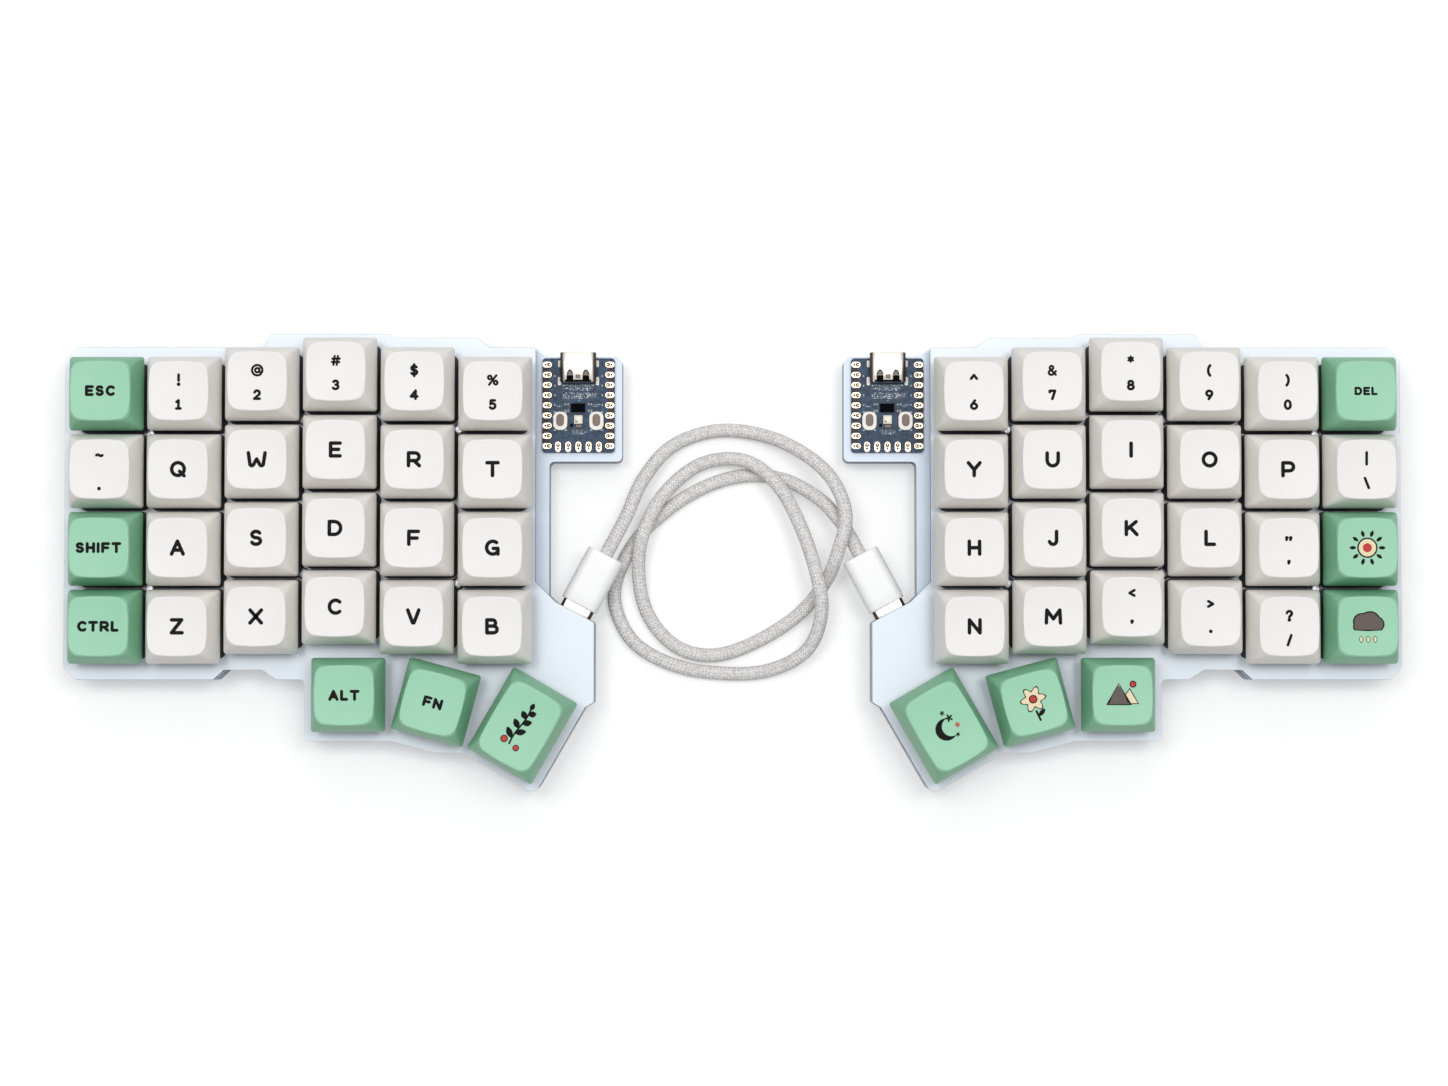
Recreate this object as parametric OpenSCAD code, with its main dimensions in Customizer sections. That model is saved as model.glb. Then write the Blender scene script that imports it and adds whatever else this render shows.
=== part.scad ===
// Split ergonomic keyboard: two mirrored halves joined by a braided link cable.
// Each half is an open stack of base plate, circuit board and switch plate, with
// 24 keys in staggered columns and 3 thumb keys on a fan.
// +X points to the right half, +Y away from the typist, +Z up. Lengths are in millimetres.

/* [Key layout] */
// Distance between neighbouring key centres
key_pitch = 19.05; // [18.5:0.05:20]
// Distance between the innermost key columns of the two halves
half_spread = 116.8; // [112:0.2:140]
// Turn from one thumb key to the next, in degrees
thumb_turn = 15; // [12:1:16]
// Length of the innermost thumb key, in key pitches
long_key = 1.25; // [1:0.05:1.3]

/* [Keycaps] */
// Gap between neighbouring keycaps
cap_gap = 0.9; // [0.6:0.05:1.5]
// Height of a keycap from its skirt to its highest edge
cap_h = 9.1; // [8:0.1:11]
// How far each side leans in from the skirt to the rim
cap_taper = 1.9; // [1.2:0.1:2.4]
// Width of the soft rim around the top
cap_rim = 0.45; // [0.2:0.05:0.8]
// Corner radius at the skirt
cap_base_r = 0.8; // [0.4:0.1:2]
// Corner radius at the top
cap_top_r = 3.4; // [2:0.1:5]
// Thickness of the side walls
cap_wall = 1.4; // [1:0.1:1.6]
// Thickness of the roof above the hollow
cap_roof = 2.2; // [1.6:0.1:3]
// Radius of the sphere that hollows the top
dish_r = 60; // [40:1:90]
// Depth of that hollow at its middle
dish_depth = 0.7; // [0.4:0.05:1]
// Diameter of the post that takes the stem
post_d = 5.5; // [5.2:0.1:5.8]

/* [Switches] */
// How far a key goes down
key_travel = 4; // [3:0.1:4.5]
// Side of the square cut-out in the switch plate
switch_cutout = 14; // [13.8:0.05:14.2]
// How far the flange rests on the plate on each side
flange_lip = 0.8; // [0.5:0.1:1]
// Thickness of the flange
flange_t = 1; // [0.7:0.1:1.3]
// Height of a housing above the plate
housing_h = 6.6; // [6.2:0.1:7.4]
// Width of a housing at its top, across the board
housing_top_w = 11.4; // [11:0.1:12.4]
// Depth of a housing at its top
housing_top_l = 10.4; // [10:0.1:11.4]
// Thickness of the lip that holds the slider in
lip_t = 1.5; // [1:0.1:2]
// Width of the slider
slider_w = 7; // [6.6:0.1:7.4]
// Depth of the slider
slider_l = 5.8; // [5.6:0.1:6.2]
// How far the slider's foot stands out under the lip
foot_lip = 0.9; // [0.6:0.1:1]
// Thickness of the slider's foot
slider_foot_t = 1.6; // [1:0.1:2]
// Length of each bar of the cross stem
stem_len = 4; // [3.8:0.05:4.2]
// Thickness of each bar of the cross stem
stem_t = 1.2; // [1:0.05:1.3]
// Height of the cross stem above the slider
stem_h = 3.6; // [3:0.1:4]
// Diameter of the centre post under a housing
boss_d = 3.9; // [3.5:0.1:4.2]
// Diameter of a contact pin
pin_d = 1.4; // [1:0.1:1.5]
// How far the post and pins show under the board
pin_show = 1.5; // [0.8:0.1:2]
// Gap around the slider as it moves
slide_gap = 0.3; // [0.2:0.05:0.4]
// Gap where a piece is pushed or soldered into another
fit_gap = 0.05; // [0.03:0.01:0.1]

/* [Plates] */
// Height of the rubber feet
foot_h = 2; // [1.6:0.1:3]
// Diameter of the rubber feet
foot_d = 9; // [7:0.5:11]
// Thickness of the base plate
base_t = 1.6; // [1.2:0.1:2.4]
// Gap between base plate and circuit board
base_gap = 3; // [2.4:0.1:5]
// Thickness of the circuit board
board_t = 1.6; // [1.2:0.1:2]
// Thickness of the switch plate
plate_t = 1.6; // [1.2:0.1:2]
// Plate margin outside the outermost keys
side_margin = 2.2; // [1.5:0.1:4]
// Plate margin above the keys
top_margin = 2.6; // [2:0.1:4]
// Plate margin above the highest column
crown_margin = 1.1; // [0.6:0.1:2]
// Plate margin below the keys
bottom_margin = 3.5; // [2.5:0.1:5]
// Bevel of the outer corners
corner_bevel = 3; // [1:0.1:4]
// Diameter of the standoffs
stand_d = 4; // [3.4:0.1:4.4]
// Diameter of the screws' shanks
screw_d = 2; // [1.6:0.1:2.2]
// Diameter of the screws' heads
head_d = 3.2; // [2.8:0.1:3.4]
// Height of the screws' heads
head_h = 1.2; // [0.8:0.1:1.4]
// How far a screw goes into its standoff
screw_grip = 3; // [2:0.1:3.4]

/* [Controller and sockets] */
// Width of the controller board
controller_w = 18; // [17:0.1:19]
// Length of the controller board
controller_l = 23.5; // [22.5:0.1:26]
// Thickness of the controller board
controller_t = 1.2; // [0.8:0.1:1.6]
// Gap between switch plate and controller
controller_gap = 1.4; // [1:0.1:2.5]
// Margin of the main board around the controller
wing_margin = 1.9; // [1:0.1:3]
// Pitch of the solder pads along the controller's edges
pad_pitch = 2.54; // [2.5:0.01:2.6]
// How far the main board shows beside the switch plate
board_lip = 3.2; // [2:0.1:5]
// Width of a USB-C socket
socket_w = 8.94; // [8.8:0.02:9.2]
// Length of a USB-C socket
socket_l = 7.35; // [7:0.05:8]
// Height of a USB-C socket
socket_h = 3.2; // [3.1:0.02:3.4]
// Wall of a USB-C socket's shell
socket_wall = 0.3; // [0.2:0.02:0.34]
// How far the host socket stands out past the controller
socket_overhang = 1.5; // [0.8:0.1:2]
// Gap between the link socket and the plate above it
socket_clear = 0.2; // [0.1:0.05:0.6]
// Slant of the inner edge that holds the link socket, in degrees
port_turn = 28; // [24:1:32]
// Half the length of that slanted edge
port_half = 5.4; // [5:0.1:7]

/* [Link cable] */
// Diameter of the braided cable
cable_d = 3.4; // [3:0.1:3.6]
// Width of a plug's moulded body
plug_w = 9.5; // [9:0.1:11]
// Thickness of a plug's moulded body
plug_h = 6; // [5:0.1:6.6]
// Length of a plug's moulded body
plug_l = 14.2; // [12:0.1:20]
// Length of the plug's metal shell that shows
plug_show = 2; // [1:0.1:3]
// Length of the metal shell inside the socket
plug_in = 4.6; // [4:0.1:5.2]

/* [Hidden] */
columns = 6;
rows = 4;
round_fn = 48;
// Height of each column above the outermost ones, in key pitches
column_raise = [0, 0, 0.125, 0.25, 0.125, 0];
// Thumb keys, in key pitches from the lowest key of the highest column
thumb_at = [[0.125, -1.125], [1.25, -1.22], [2.36, -1.52]];
// Plate margin below each thumb key, and beside the innermost one
thumb_margin = [2, 2.9, 1.7];
thumb_side_margin = 1.3;

cell = key_pitch / 2;
cap_w = key_pitch - cap_gap;

// Heights of the stack, from the table up
base_top = foot_h + base_t;
board_bottom = base_top + base_gap;
board_top = board_bottom + board_t;
plate_bottom = board_top + socket_h + socket_clear;
plate_top = plate_bottom + plate_t;
housing_top = plate_top + housing_h;
slider_top = housing_top - 0.2;
lip_bottom = housing_top - lip_t;
slider_foot_top = lip_bottom - 0.1;
slider_foot_bottom = slider_foot_top - slider_foot_t;
shaft_floor = slider_foot_bottom - key_travel - slide_gap;
post_bottom = slider_top + 0.1;
cap_bottom = housing_top - 0.3;
socket_axis = board_top + socket_h / 2;

// Key centres on the left half, measured from the top key of its innermost column
function key_x(c) = -(columns - 1 - c) * key_pitch;
function key_y(c, r) = (column_raise[c] - r) * key_pitch;
thumbs = [for (t = thumb_at) [key_x(3), key_y(3, rows - 1)] + t * key_pitch];
long_cell = long_key * cell;

// Each place is x, y, turn and length in pitches
half_places = concat(
    [for (r = [0:rows - 1]) for (c = [0:columns - 1]) [key_x(c), key_y(c, r), 0, 1]],
    [for (i = [0:2]) [thumbs[i].x, thumbs[i].y, -i * thumb_turn, i == 2 ? long_key : 1]]);

// Names run from the outermost column inwards, row by row, and then along the thumb fan
left_names = [
    "esc", "1", "2", "3", "4", "5",
    "grave", "q", "w", "e", "r", "t",
    "shift", "a", "s", "d", "f", "g",
    "ctrl", "z", "x", "c", "v", "b",
    "alt", "fn", "left_thumb"];
right_names = [
    "del", "0", "9", "8", "7", "6",
    "backslash", "p", "o", "i", "u", "y",
    "outer_upper", "quote", "l", "k", "j", "h",
    "outer_lower", "slash", "period", "comma", "m", "n",
    "right_thumb_outer", "right_thumb_middle", "right_thumb_inner"];
green_names = [
    "esc", "shift", "ctrl", "alt", "fn", "left_thumb", "del", "outer_upper", "outer_lower",
    "right_thumb_outer", "right_thumb_middle", "right_thumb_inner"];
function is_green(name) = len([for (g = green_names) if (g == name) g]) > 0;

// Each key is its node's name, its half (0 left, 1 right), its place and whether it is green
keys = concat(
    [for (i = [0:len(half_places) - 1]) [left_names[i], 0, half_places[i]]],
    [for (i = [0:len(half_places) - 1]) [right_names[i], 1, half_places[i]]]);
function node_name(key) = str("key_", key[0]);

// Outlines: each point is x, y and the radius that its corner is rounded with
function unit(v) = v / norm(v);
function turned(p, a) = [p.x * cos(a) - p.y * sin(a), p.x * sin(a) + p.y * cos(a)];
function corner_arc(a, b, c, steps = 5) =
    let (p = [b.x, b.y], u = unit([a.x, a.y] - p), w = unit([c.x, c.y] - p))
    let (half = acos(u * w) / 2, centre = p + unit(u + w) * b[2] / sin(half))
    let (from = p + u * b[2] / tan(half) - centre, to = p + w * b[2] / tan(half) - centre)
    let (start = atan2(from.y, from.x), step = atan2(to.y, to.x) - start)
    let (sweep = step > 180 ? step - 360 : step < -180 ? step + 360 : step)
    [for (i = [0:steps]) centre + b[2] * [cos(start + sweep * i / steps), sin(start + sweep * i / steps)]];
function rounded(points) = let (n = len(points)) [
    for (i = [0:n - 1])
        each points[i][2] == 0 ? [[points[i].x, points[i].y]]
            : corner_arc(points[(i + n - 1) % n], points[i], points[(i + 1) % n])];
function box_outline(w, l, r) = rounded([[-w / 2, -l / 2, r], [w / 2, -l / 2, r], [w / 2, l / 2, r], [-w / 2, l / 2, r]]);

// Controller and its wing of the main board
controller_at = [cell + controller_gap + controller_w / 2, cell + 0.3 - controller_l / 2];
wing_right = controller_at.x + controller_w / 2 + wing_margin;
wing_top = controller_at.y + controller_l / 2 + 0.4;
wing_bottom = controller_at.y - controller_l / 2 - wing_margin - 0.4;
strip_x = cell + board_lip;

// The slanted edge with the link socket
port_at = [cell + 9.75, key_y(5, 3) + 3.65];
port_along = [cos(port_turn), -sin(port_turn)];
port_out = [sin(port_turn), cos(port_turn)];
port_high = port_at - port_half * port_along;
port_low = port_at + port_half * port_along;

outer_x = key_x(0) - cell - side_margin;
top_y = cell + top_margin;
crown_y = key_y(3, 0) + cell + crown_margin;
step_y = key_y(4, 0) + cell + top_margin;
bottom_y = key_y(0, 3) - cell - bottom_margin;
notch_y = key_y(2, 3) - cell - bottom_margin;
thumb_bottom = thumbs[0].y - cell - thumb_margin[0];
thumb_left = thumbs[0].x - cell - side_margin;
valley_y = thumbs[1].y - cell - 3.1;

// Where the line under thumb key i crosses the height y
function under_thumb(i, reach, y) =
    let (a = -i * thumb_turn, p = thumbs[i] + turned([0, -reach - thumb_margin[i]], a))
    [p.x + (y - p.y) / tan(a), y];
inner_thumb_side = cell + thumb_side_margin;
shoulder = thumbs[2] + turned([inner_thumb_side, long_cell - 0.7], -2 * thumb_turn);
tip = thumbs[2] + turned([inner_thumb_side, -long_cell - thumb_margin[2]], -2 * thumb_turn);

top_edge = [
    [outer_x, top_y - corner_bevel, 0.6], [outer_x + corner_bevel, top_y, 0.6],
    [key_x(2) - 0.75, top_y, 0.6], [key_x(2) + 1.05, crown_y, 0.6],
    [key_x(3) + cell + 1.8, crown_y, 0], [key_x(3) + cell + 3.1, step_y, 0],
    [key_x(4) + cell + 4.6, step_y, 0], [key_x(4) + cell + 7.6, top_y, 0]];
plate_side = [
    [cell, top_y, 0.5],
    [cell, port_high.y + port_high.x - cell, 0]];
board_side = [
    [cell, top_y, 0], [cell + 1.9, wing_top, 0],
    [wing_right - 1.5, wing_top, 0], [wing_right, wing_top - 1.5, 0],
    [wing_right, wing_bottom, 1.3], [strip_x, wing_bottom, 1.2],
    [strip_x, port_high.y + port_high.x - strip_x, 0]];
lower_edge = [
    [port_high.x, port_high.y, 0], [port_low.x, port_low.y, 0.5],
    [port_low.x, shoulder.y + (port_low.x - shoulder.x) * tan(30), 0.5], [shoulder.x, shoulder.y, 0.5],
    [tip.x, tip.y, 2.4],
    [each under_thumb(2, long_cell, valley_y), 0], [each under_thumb(1, cell, valley_y), 0],
    [each under_thumb(1, cell, thumb_bottom), 0], [thumb_left, thumb_bottom, 1.5],
    [thumb_left, bottom_y, 1.2], [key_x(2) + 2.85, bottom_y, 0],
    [key_x(2) - 0.75, notch_y, 0], [key_x(1) + cell - 0.6, notch_y, 0],
    [key_x(1) + cell - 3.2, bottom_y, 0],
    [outer_x + corner_bevel, bottom_y, 0.6], [outer_x, bottom_y + corner_bevel, 0.6]];
plate_outline = rounded(concat(top_edge, plate_side, lower_edge));
board_outline = rounded(concat(top_edge, board_side, lower_edge));
outline_y = [for (p = plate_outline) p.y];
half_at = [-half_spread / 2, -(max(outline_y) + min(outline_y)) / 2];

// Standoffs stand between four keys, and the feet under keys and controller
stands = [for (c = [0, 2, 4]) for (r = [0, 2]) [key_x(c) + cell, (key_y(c, r) + key_y(c + 1, r)) / 2 - cell]];
feet = [[key_x(0), key_y(0, 0)], [key_x(0), key_y(0, 3)], controller_at, thumbs[0], thumbs[2]];

// Route of the link cable between its two plugs, as it lies: x, y and height of its centre
cable_points = [
    [-26.3, 12, 9], [-22.4, 21, 5.6], [-15.5, 29.3, 2.6], [-5, 33.3, 1.9], [6, 32.6, 3],
    [16, 28.4, 6.6], [24.2, 21.2, 11], [27.9, 11.5, 13.6], [25.7, 1.8, 12.3], [23.1, -4.6, 7.6],
    [16.5, -12.8, 3.2], [5.5, -19.8, 1.9], [-5, -23, 1.9], [-14.5, -20.6, 1.9], [-21.4, -12.6, 2],
    [-23.6, -2, 4.2], [-22.2, 8, 6.2], [-17, 17.6, 4.4], [-8, 25, 2.6], [2.5, 25.8, 4.8],
    [10.4, 20.4, 6.8], [16, 11, 8.4], [20.2, -1, 11], [22, -12, 10], [18.6, -21.6, 5.4],
    [9, -26.8, 2.1], [-3, -27.5, 1.9], [-15, -25.4, 1.9], [-25, -19.6, 1.9], [-29.6, -10, 1.9],
    [-28, -0.8, 1.9], [-21.5, 9, 1.9], [-10, 17.8, 1.9], [2, 22, 1.9], [13, 21, 2.6],
    [21.8, 15.8, 6.8], [26.6, 10.4, 9.1]];
// The cable leaves its plugs straight, through these points
cable_stub = [fit_gap, 2.8, 5.6];
cable_sides = 8;
plug_reach = plug_show + plug_l;
function port_point(reach) = half_at + port_at + port_out * reach;
function left_end(reach) = [port_point(reach).x, port_point(reach).y, socket_axis];
function right_end(reach) = [-left_end(reach).x, left_end(reach).y, socket_axis];
cable_knots = concat(
    [for (reach = cable_stub) left_end(plug_reach + reach)], cable_points,
    [for (i = [2:-1:0]) right_end(plug_reach + cable_stub[i])]);

// A smooth curve through the knots, with a ring at each knot and, past the straight exits, one between
knots = len(cable_knots);
function knot(i) = i < 0 ? 2 * cable_knots[0] - cable_knots[1]
    : i >= knots ? 2 * cable_knots[knots - 1] - cable_knots[knots - 2] : cable_knots[i];
function smooth(i, t) = let (a = knot(i - 1), b = knot(i), c = knot(i + 1), d = knot(i + 2))
    b + t * ((c - a) + t * (2 * a - 5 * b + 4 * c - d + t * (3 * (b - c) + d - a))) / 2;
cable_path = concat(
    [for (i = [0:knots - 2]) for (t = i < 2 || i > knots - 4 ? [0] : [0, 0.5]) smooth(i, t)],
    [cable_knots[knots - 1]]);
rings = len(cable_path);

// Length of the cable up to each ring, and its least gap to itself between rings that lie further apart than a bend
cable_run = [for (i = 0, run = 0; i < rings; run = run + (i + 1 < rings ? norm(cable_path[i + 1] - cable_path[i]) : 0), i = i + 1) run];
cable_gap = min([
    for (i = [0:rings - 1]) for (j = [0:1:i])
        if (cable_run[i] - cable_run[j] > 3 * cable_d) norm(cable_path[i] - cable_path[j])]) - cable_d;
echo(cable_length = cable_run[rings - 1], least_gap_of_the_cable_to_itself = cable_gap);

// A closed loft through rings of equally many points, which run anticlockwise seen from its end
module loft(rings) {
    n = len(rings[0]);
    last = len(rings) - 1;
    polyhedron(
        points = [for (ring = rings) each ring],
        faces = concat(
            [[for (i = [0:n - 1]) i]],
            [for (k = [0:last - 1]) for (i = [0:n - 1])
                [k * n + i, (k + 1) * n + i, (k + 1) * n + (i + 1) % n, k * n + (i + 1) % n]],
            [[for (i = [n - 1:-1:0]) last * n + i]]));
}

// A block whose four sides lean in evenly from its foot to its top
module tapered_block(foot_w, foot_l, top_w, top_l, h) {
    intersection() {
        rotate([90, 0, 0])
            linear_extrude(foot_l, center = true)
                polygon([[-foot_w / 2, 0], [foot_w / 2, 0], [top_w / 2, h], [-top_w / 2, h]]);
        rotate([90, 0, 90])
            linear_extrude(foot_w, center = true)
                polygon([[-foot_l / 2, 0], [foot_l / 2, 0], [top_l / 2, h], [-top_l / 2, h]]);
    }
}

module slab(w, l, from, to) {
    translate([-w / 2, -l / 2, from])
        cube([w, l, to - from]);
}

module cross_bars(len, t, from, to) {
    slab(len, t, from, to);
    slab(t, len, from, to);
}

// Draws its children on the left half and mirrored on the right one
module both_halves() {
    for (side = [0, 1])
        mirror([side, 0, 0])
            translate([half_at.x, half_at.y, 0])
                children();
}

module at_place(place) {
    translate([place.x, place.y, 0])
        rotate(place[2])
            children();
}

// Sides of a keycap bulge a little, and its corners round off towards the top
cap_levels = [0, 0.5, 0.92, 1];
function cap_inset(t) = cap_taper * pow(t, 1.5) + (t == 1 ? cap_rim : 0);
function cap_corner(t) = cap_base_r + (cap_top_r - cap_base_r) * t * t;
function cap_ring(w, l, t, steps = 4) = let (r = cap_corner(t), x = w / 2 - cap_inset(t) - r, y = l / 2 - cap_inset(t) - r) [
    for (q = [0:3]) for (s = [0:steps])
        let (a = 90 * q + 90 * s / steps, sx = q == 0 || q == 3 ? 1 : -1, sy = q < 2 ? 1 : -1)
        [sx * x + r * cos(a), sy * y + r * sin(a), cap_bottom + t * cap_h]];

module keycap(length) {
    l = length * key_pitch - cap_gap;
    ceiling = cap_bottom + cap_h - cap_roof;
    difference() {
        union() {
            difference() {
                loft([for (t = cap_levels) cap_ring(cap_w, l, t)]);
                translate([0, 0, cap_bottom])
                    tapered_block(
                        cap_w - 2 * cap_wall, l - 2 * cap_wall,
                        cap_w - 2 * cap_wall - 2 * cap_taper, l - 2 * cap_wall - 2 * cap_taper,
                        cap_h - cap_roof);
            }
            translate([0, 0, post_bottom])
                cylinder(d = post_d, h = ceiling + cap_roof / 2 - post_bottom, $fn = round_fn);
        }
        translate([0, 0, cap_bottom + cap_h - dish_depth + dish_r])
            sphere(dish_r, $fn = 120);
        cross_bars(stem_len + 2 * fit_gap, stem_t + 2 * fit_gap, post_bottom - 1, slider_top + stem_h + 2 * fit_gap);
    }
}

module slider() {
    slab(slider_w + 2 * foot_lip, slider_l + 2 * foot_lip, slider_foot_bottom, slider_foot_top);
    slab(slider_w, slider_l, slider_foot_bottom, slider_top);
    cross_bars(stem_len, stem_t, slider_foot_bottom, slider_top + stem_h);
}

module key(k) {
    mirror([k[1], 0, 0])
        translate([half_at.x, half_at.y, 0])
            at_place(k[2]) {
                color(is_green(k[0]) ? "mediumaquamarine" : "linen")
                    keycap(k[2][3]);
                color("dimgray")
                    slider();
            }
}

pin_spots = [[-3.81, 2.54], [2.54, 5.08]];

module housing() {
    flange = switch_cutout + 2 * flange_lip;
    body = switch_cutout - 2 * fit_gap;
    difference() {
        union() {
            slab(body, body, board_top, plate_top + flange_t);
            slab(flange, flange, plate_top, plate_top + flange_t);
            translate([0, 0, plate_top + flange_t])
                tapered_block(body, body, housing_top_w, housing_top_l, housing_h - flange_t);
            translate([0, 0, board_bottom - pin_show])
                cylinder(d = boss_d, h = board_t + pin_show + 0.5, $fn = round_fn);
            for (p = pin_spots)
                translate([p.x, p.y, board_bottom - pin_show])
                    cylinder(d = pin_d, h = board_t + pin_show + 0.5, $fn = round_fn);
        }
        slab(slider_w + 2 * slide_gap, slider_l + 2 * slide_gap, shaft_floor, housing_top + 1);
        slab(
            slider_w + 2 * foot_lip + 2 * slide_gap, slider_l + 2 * foot_lip + 2 * slide_gap,
            shaft_floor, lip_bottom);
    }
}

module switch_housings() {
    color("darkslategray")
        both_halves()
            for (p = half_places)
                at_place(p)
                    housing();
}

module stand_holes(d) {
    for (s = stands)
        translate(s)
            circle(d = d, $fn = round_fn);
}

module switch_plates() {
    color("aliceblue")
        both_halves()
            translate([0, 0, plate_bottom])
                linear_extrude(plate_t)
                    difference() {
                        polygon(plate_outline);
                        for (p = half_places)
                            at_place(p)
                                square(switch_cutout, center = true);
                        stand_holes(screw_d + 4 * fit_gap);
                    }
}

module main_boards() {
    both_halves()
        translate([0, 0, board_bottom])
            linear_extrude(board_t)
                difference() {
                    polygon(board_outline);
                    for (p = half_places)
                        at_place(p) {
                            circle(d = boss_d + 2 * fit_gap, $fn = round_fn);
                            for (s = pin_spots)
                                translate(s)
                                    circle(d = pin_d + 2 * fit_gap, $fn = round_fn);
                        }
                    stand_holes(stand_d + 8 * fit_gap);
                }
}

// A USB-C socket with its mouth at the origin, facing +Y, and its underside on the ground
module usb_socket() {
    mouth_w = socket_w - 2 * socket_wall;
    mouth_h = socket_h - 2 * socket_wall;
    color("silver")
        translate([0, 0, socket_h / 2])
            rotate([90, 0, 0])
                linear_extrude(socket_l)
                    difference() {
                        polygon(box_outline(socket_w, socket_h, 1.4));
                        polygon(box_outline(mouth_w, mouth_h, 1.1));
                    }
    color("black")
        translate([0, 0, socket_h / 2]) {
            translate([0, -socket_l + 1.2, 0])
                rotate([90, 0, 0])
                    linear_extrude(1.1)
                        polygon(box_outline(mouth_w - 2 * fit_gap, mouth_h - 2 * fit_gap, 1.05));
            translate([-3.35, -socket_l + 0.5, -0.35])
                cube([6.7, socket_l - 1.4, 0.7]);
        }
}

module controller() {
    top = fit_gap + controller_t;
    color("darkslateblue")
        translate([0, 0, fit_gap])
            linear_extrude(controller_t)
                difference() {
                    polygon(box_outline(controller_w, controller_l, 0.8));
                    for (side = [-1, 1]) for (i = [-4:4])
                        translate([side * controller_w / 2, i * pad_pitch])
                            circle(d = 0.9, $fn = round_fn);
                    for (i = [-2:2])
                        translate([i * pad_pitch, -controller_l / 2])
                            circle(d = 0.9, $fn = round_fn);
                }
    translate([0, controller_l / 2 + socket_overhang, top + fit_gap])
        usb_socket();
    color("black")
        translate([-0.1, -0.65, top + fit_gap])
            slab(3.6, 2.1, 0, 0.8);
    color("white")
        translate([0, -3.5, top + fit_gap])
            slab(2, 2, 0, 0.7);
    for (side = [-1, 1])
        translate([side * 4.5, -3.95, top + fit_gap]) {
            color("silver")
                linear_extrude(1)
                    difference() {
                        polygon(box_outline(3.6, 4.5, 1.2));
                        polygon(box_outline(2.2, 3.8, 1.09));
                    }
            color("gray")
                linear_extrude(1.5)
                    polygon(box_outline(2.1, 3.7, 1.04));
        }
}

module circuit_boards() {
    color("lightsteelblue")
        main_boards();
    for (side = [-1, 1])
        translate([-side * (half_at.x + controller_at.x), half_at.y + controller_at.y, board_top])
            controller();
    both_halves()
        translate([port_at.x, port_at.y, board_top + fit_gap])
            rotate(-port_turn)
                translate([0, -0.3, 0])
                    usb_socket();
}

module base_plates() {
    color("lightblue")
        both_halves()
            translate([0, 0, foot_h])
                linear_extrude(base_t)
                    difference() {
                        polygon(board_outline);
                        stand_holes(screw_d + 4 * fit_gap);
                    }
}

module screw(plate) {
    translate([0, 0, fit_gap])
        cylinder(d = head_d, h = head_h, $fn = round_fn);
    translate([0, 0, -plate - screw_grip])
        cylinder(d = screw_d, h = plate + screw_grip + head_h, $fn = round_fn);
}

module hardware() {
    both_halves() {
        for (s = stands)
            translate(s) {
                color("goldenrod")
                    translate([0, 0, base_top])
                        difference() {
                            cylinder(d = stand_d, h = plate_bottom - base_top, $fn = round_fn);
                            translate([0, 0, -1])
                                cylinder(d = screw_d + 2 * fit_gap, h = plate_bottom - base_top + 2, $fn = round_fn);
                        }
                color("silver") {
                    translate([0, 0, plate_top])
                        screw(plate_t);
                    translate([0, 0, foot_h])
                        mirror([0, 0, 1])
                            screw(base_t);
                }
            }
        color("dimgray")
            for (f = feet)
                translate(f)
                    cylinder(d1 = foot_d - 1, d2 = foot_d, h = foot_h, $fn = round_fn);
    }
}

module plug() {
    shell_w = socket_w - 2 * socket_wall - 2 * fit_gap;
    shell_h = socket_h - 2 * socket_wall - 2 * fit_gap;
    color("silver")
        translate([0, plug_show, 0])
            rotate([90, 0, 0])
                linear_extrude(plug_show + plug_in)
                    difference() {
                        polygon(box_outline(shell_w, shell_h, 1.05));
                        polygon(box_outline(shell_w - 0.6, shell_h - 0.6, 0.8));
                    }
    color("white")
        translate([0, plug_show + fit_gap, 0])
            rotate([-90, 0, 0])
                linear_extrude(plug_l - fit_gap)
                    polygon(box_outline(plug_w, plug_h, 2.2));
}

module braided_cable() {
    last = rings - 1;
    color("lightgray")
        loft([
            for (i = [0:last])
                let (along = unit(cable_path[min(i + 1, last)] - cable_path[max(i - 1, 0)]))
                let (across = unit(cross([0, 0, 1], along)), up = cross(along, across))
                [for (s = [0:cable_sides - 1])
                    let (a = 360 * (s + 0.5) / cable_sides)
                    cable_path[i] + cable_d / 2 * (across * cos(a) + up * sin(a))]]);
}

module link_cable() {
    both_halves()
        translate([port_at.x, port_at.y, socket_axis + fit_gap])
            rotate(-port_turn)
                plug();
    braided_cable();
}

for (k = keys)
    key(k);
switch_housings();
switch_plates();
circuit_boards();
base_plates();
hardware();
link_cable();
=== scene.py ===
from math import cos, pi, radians, sin

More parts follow.
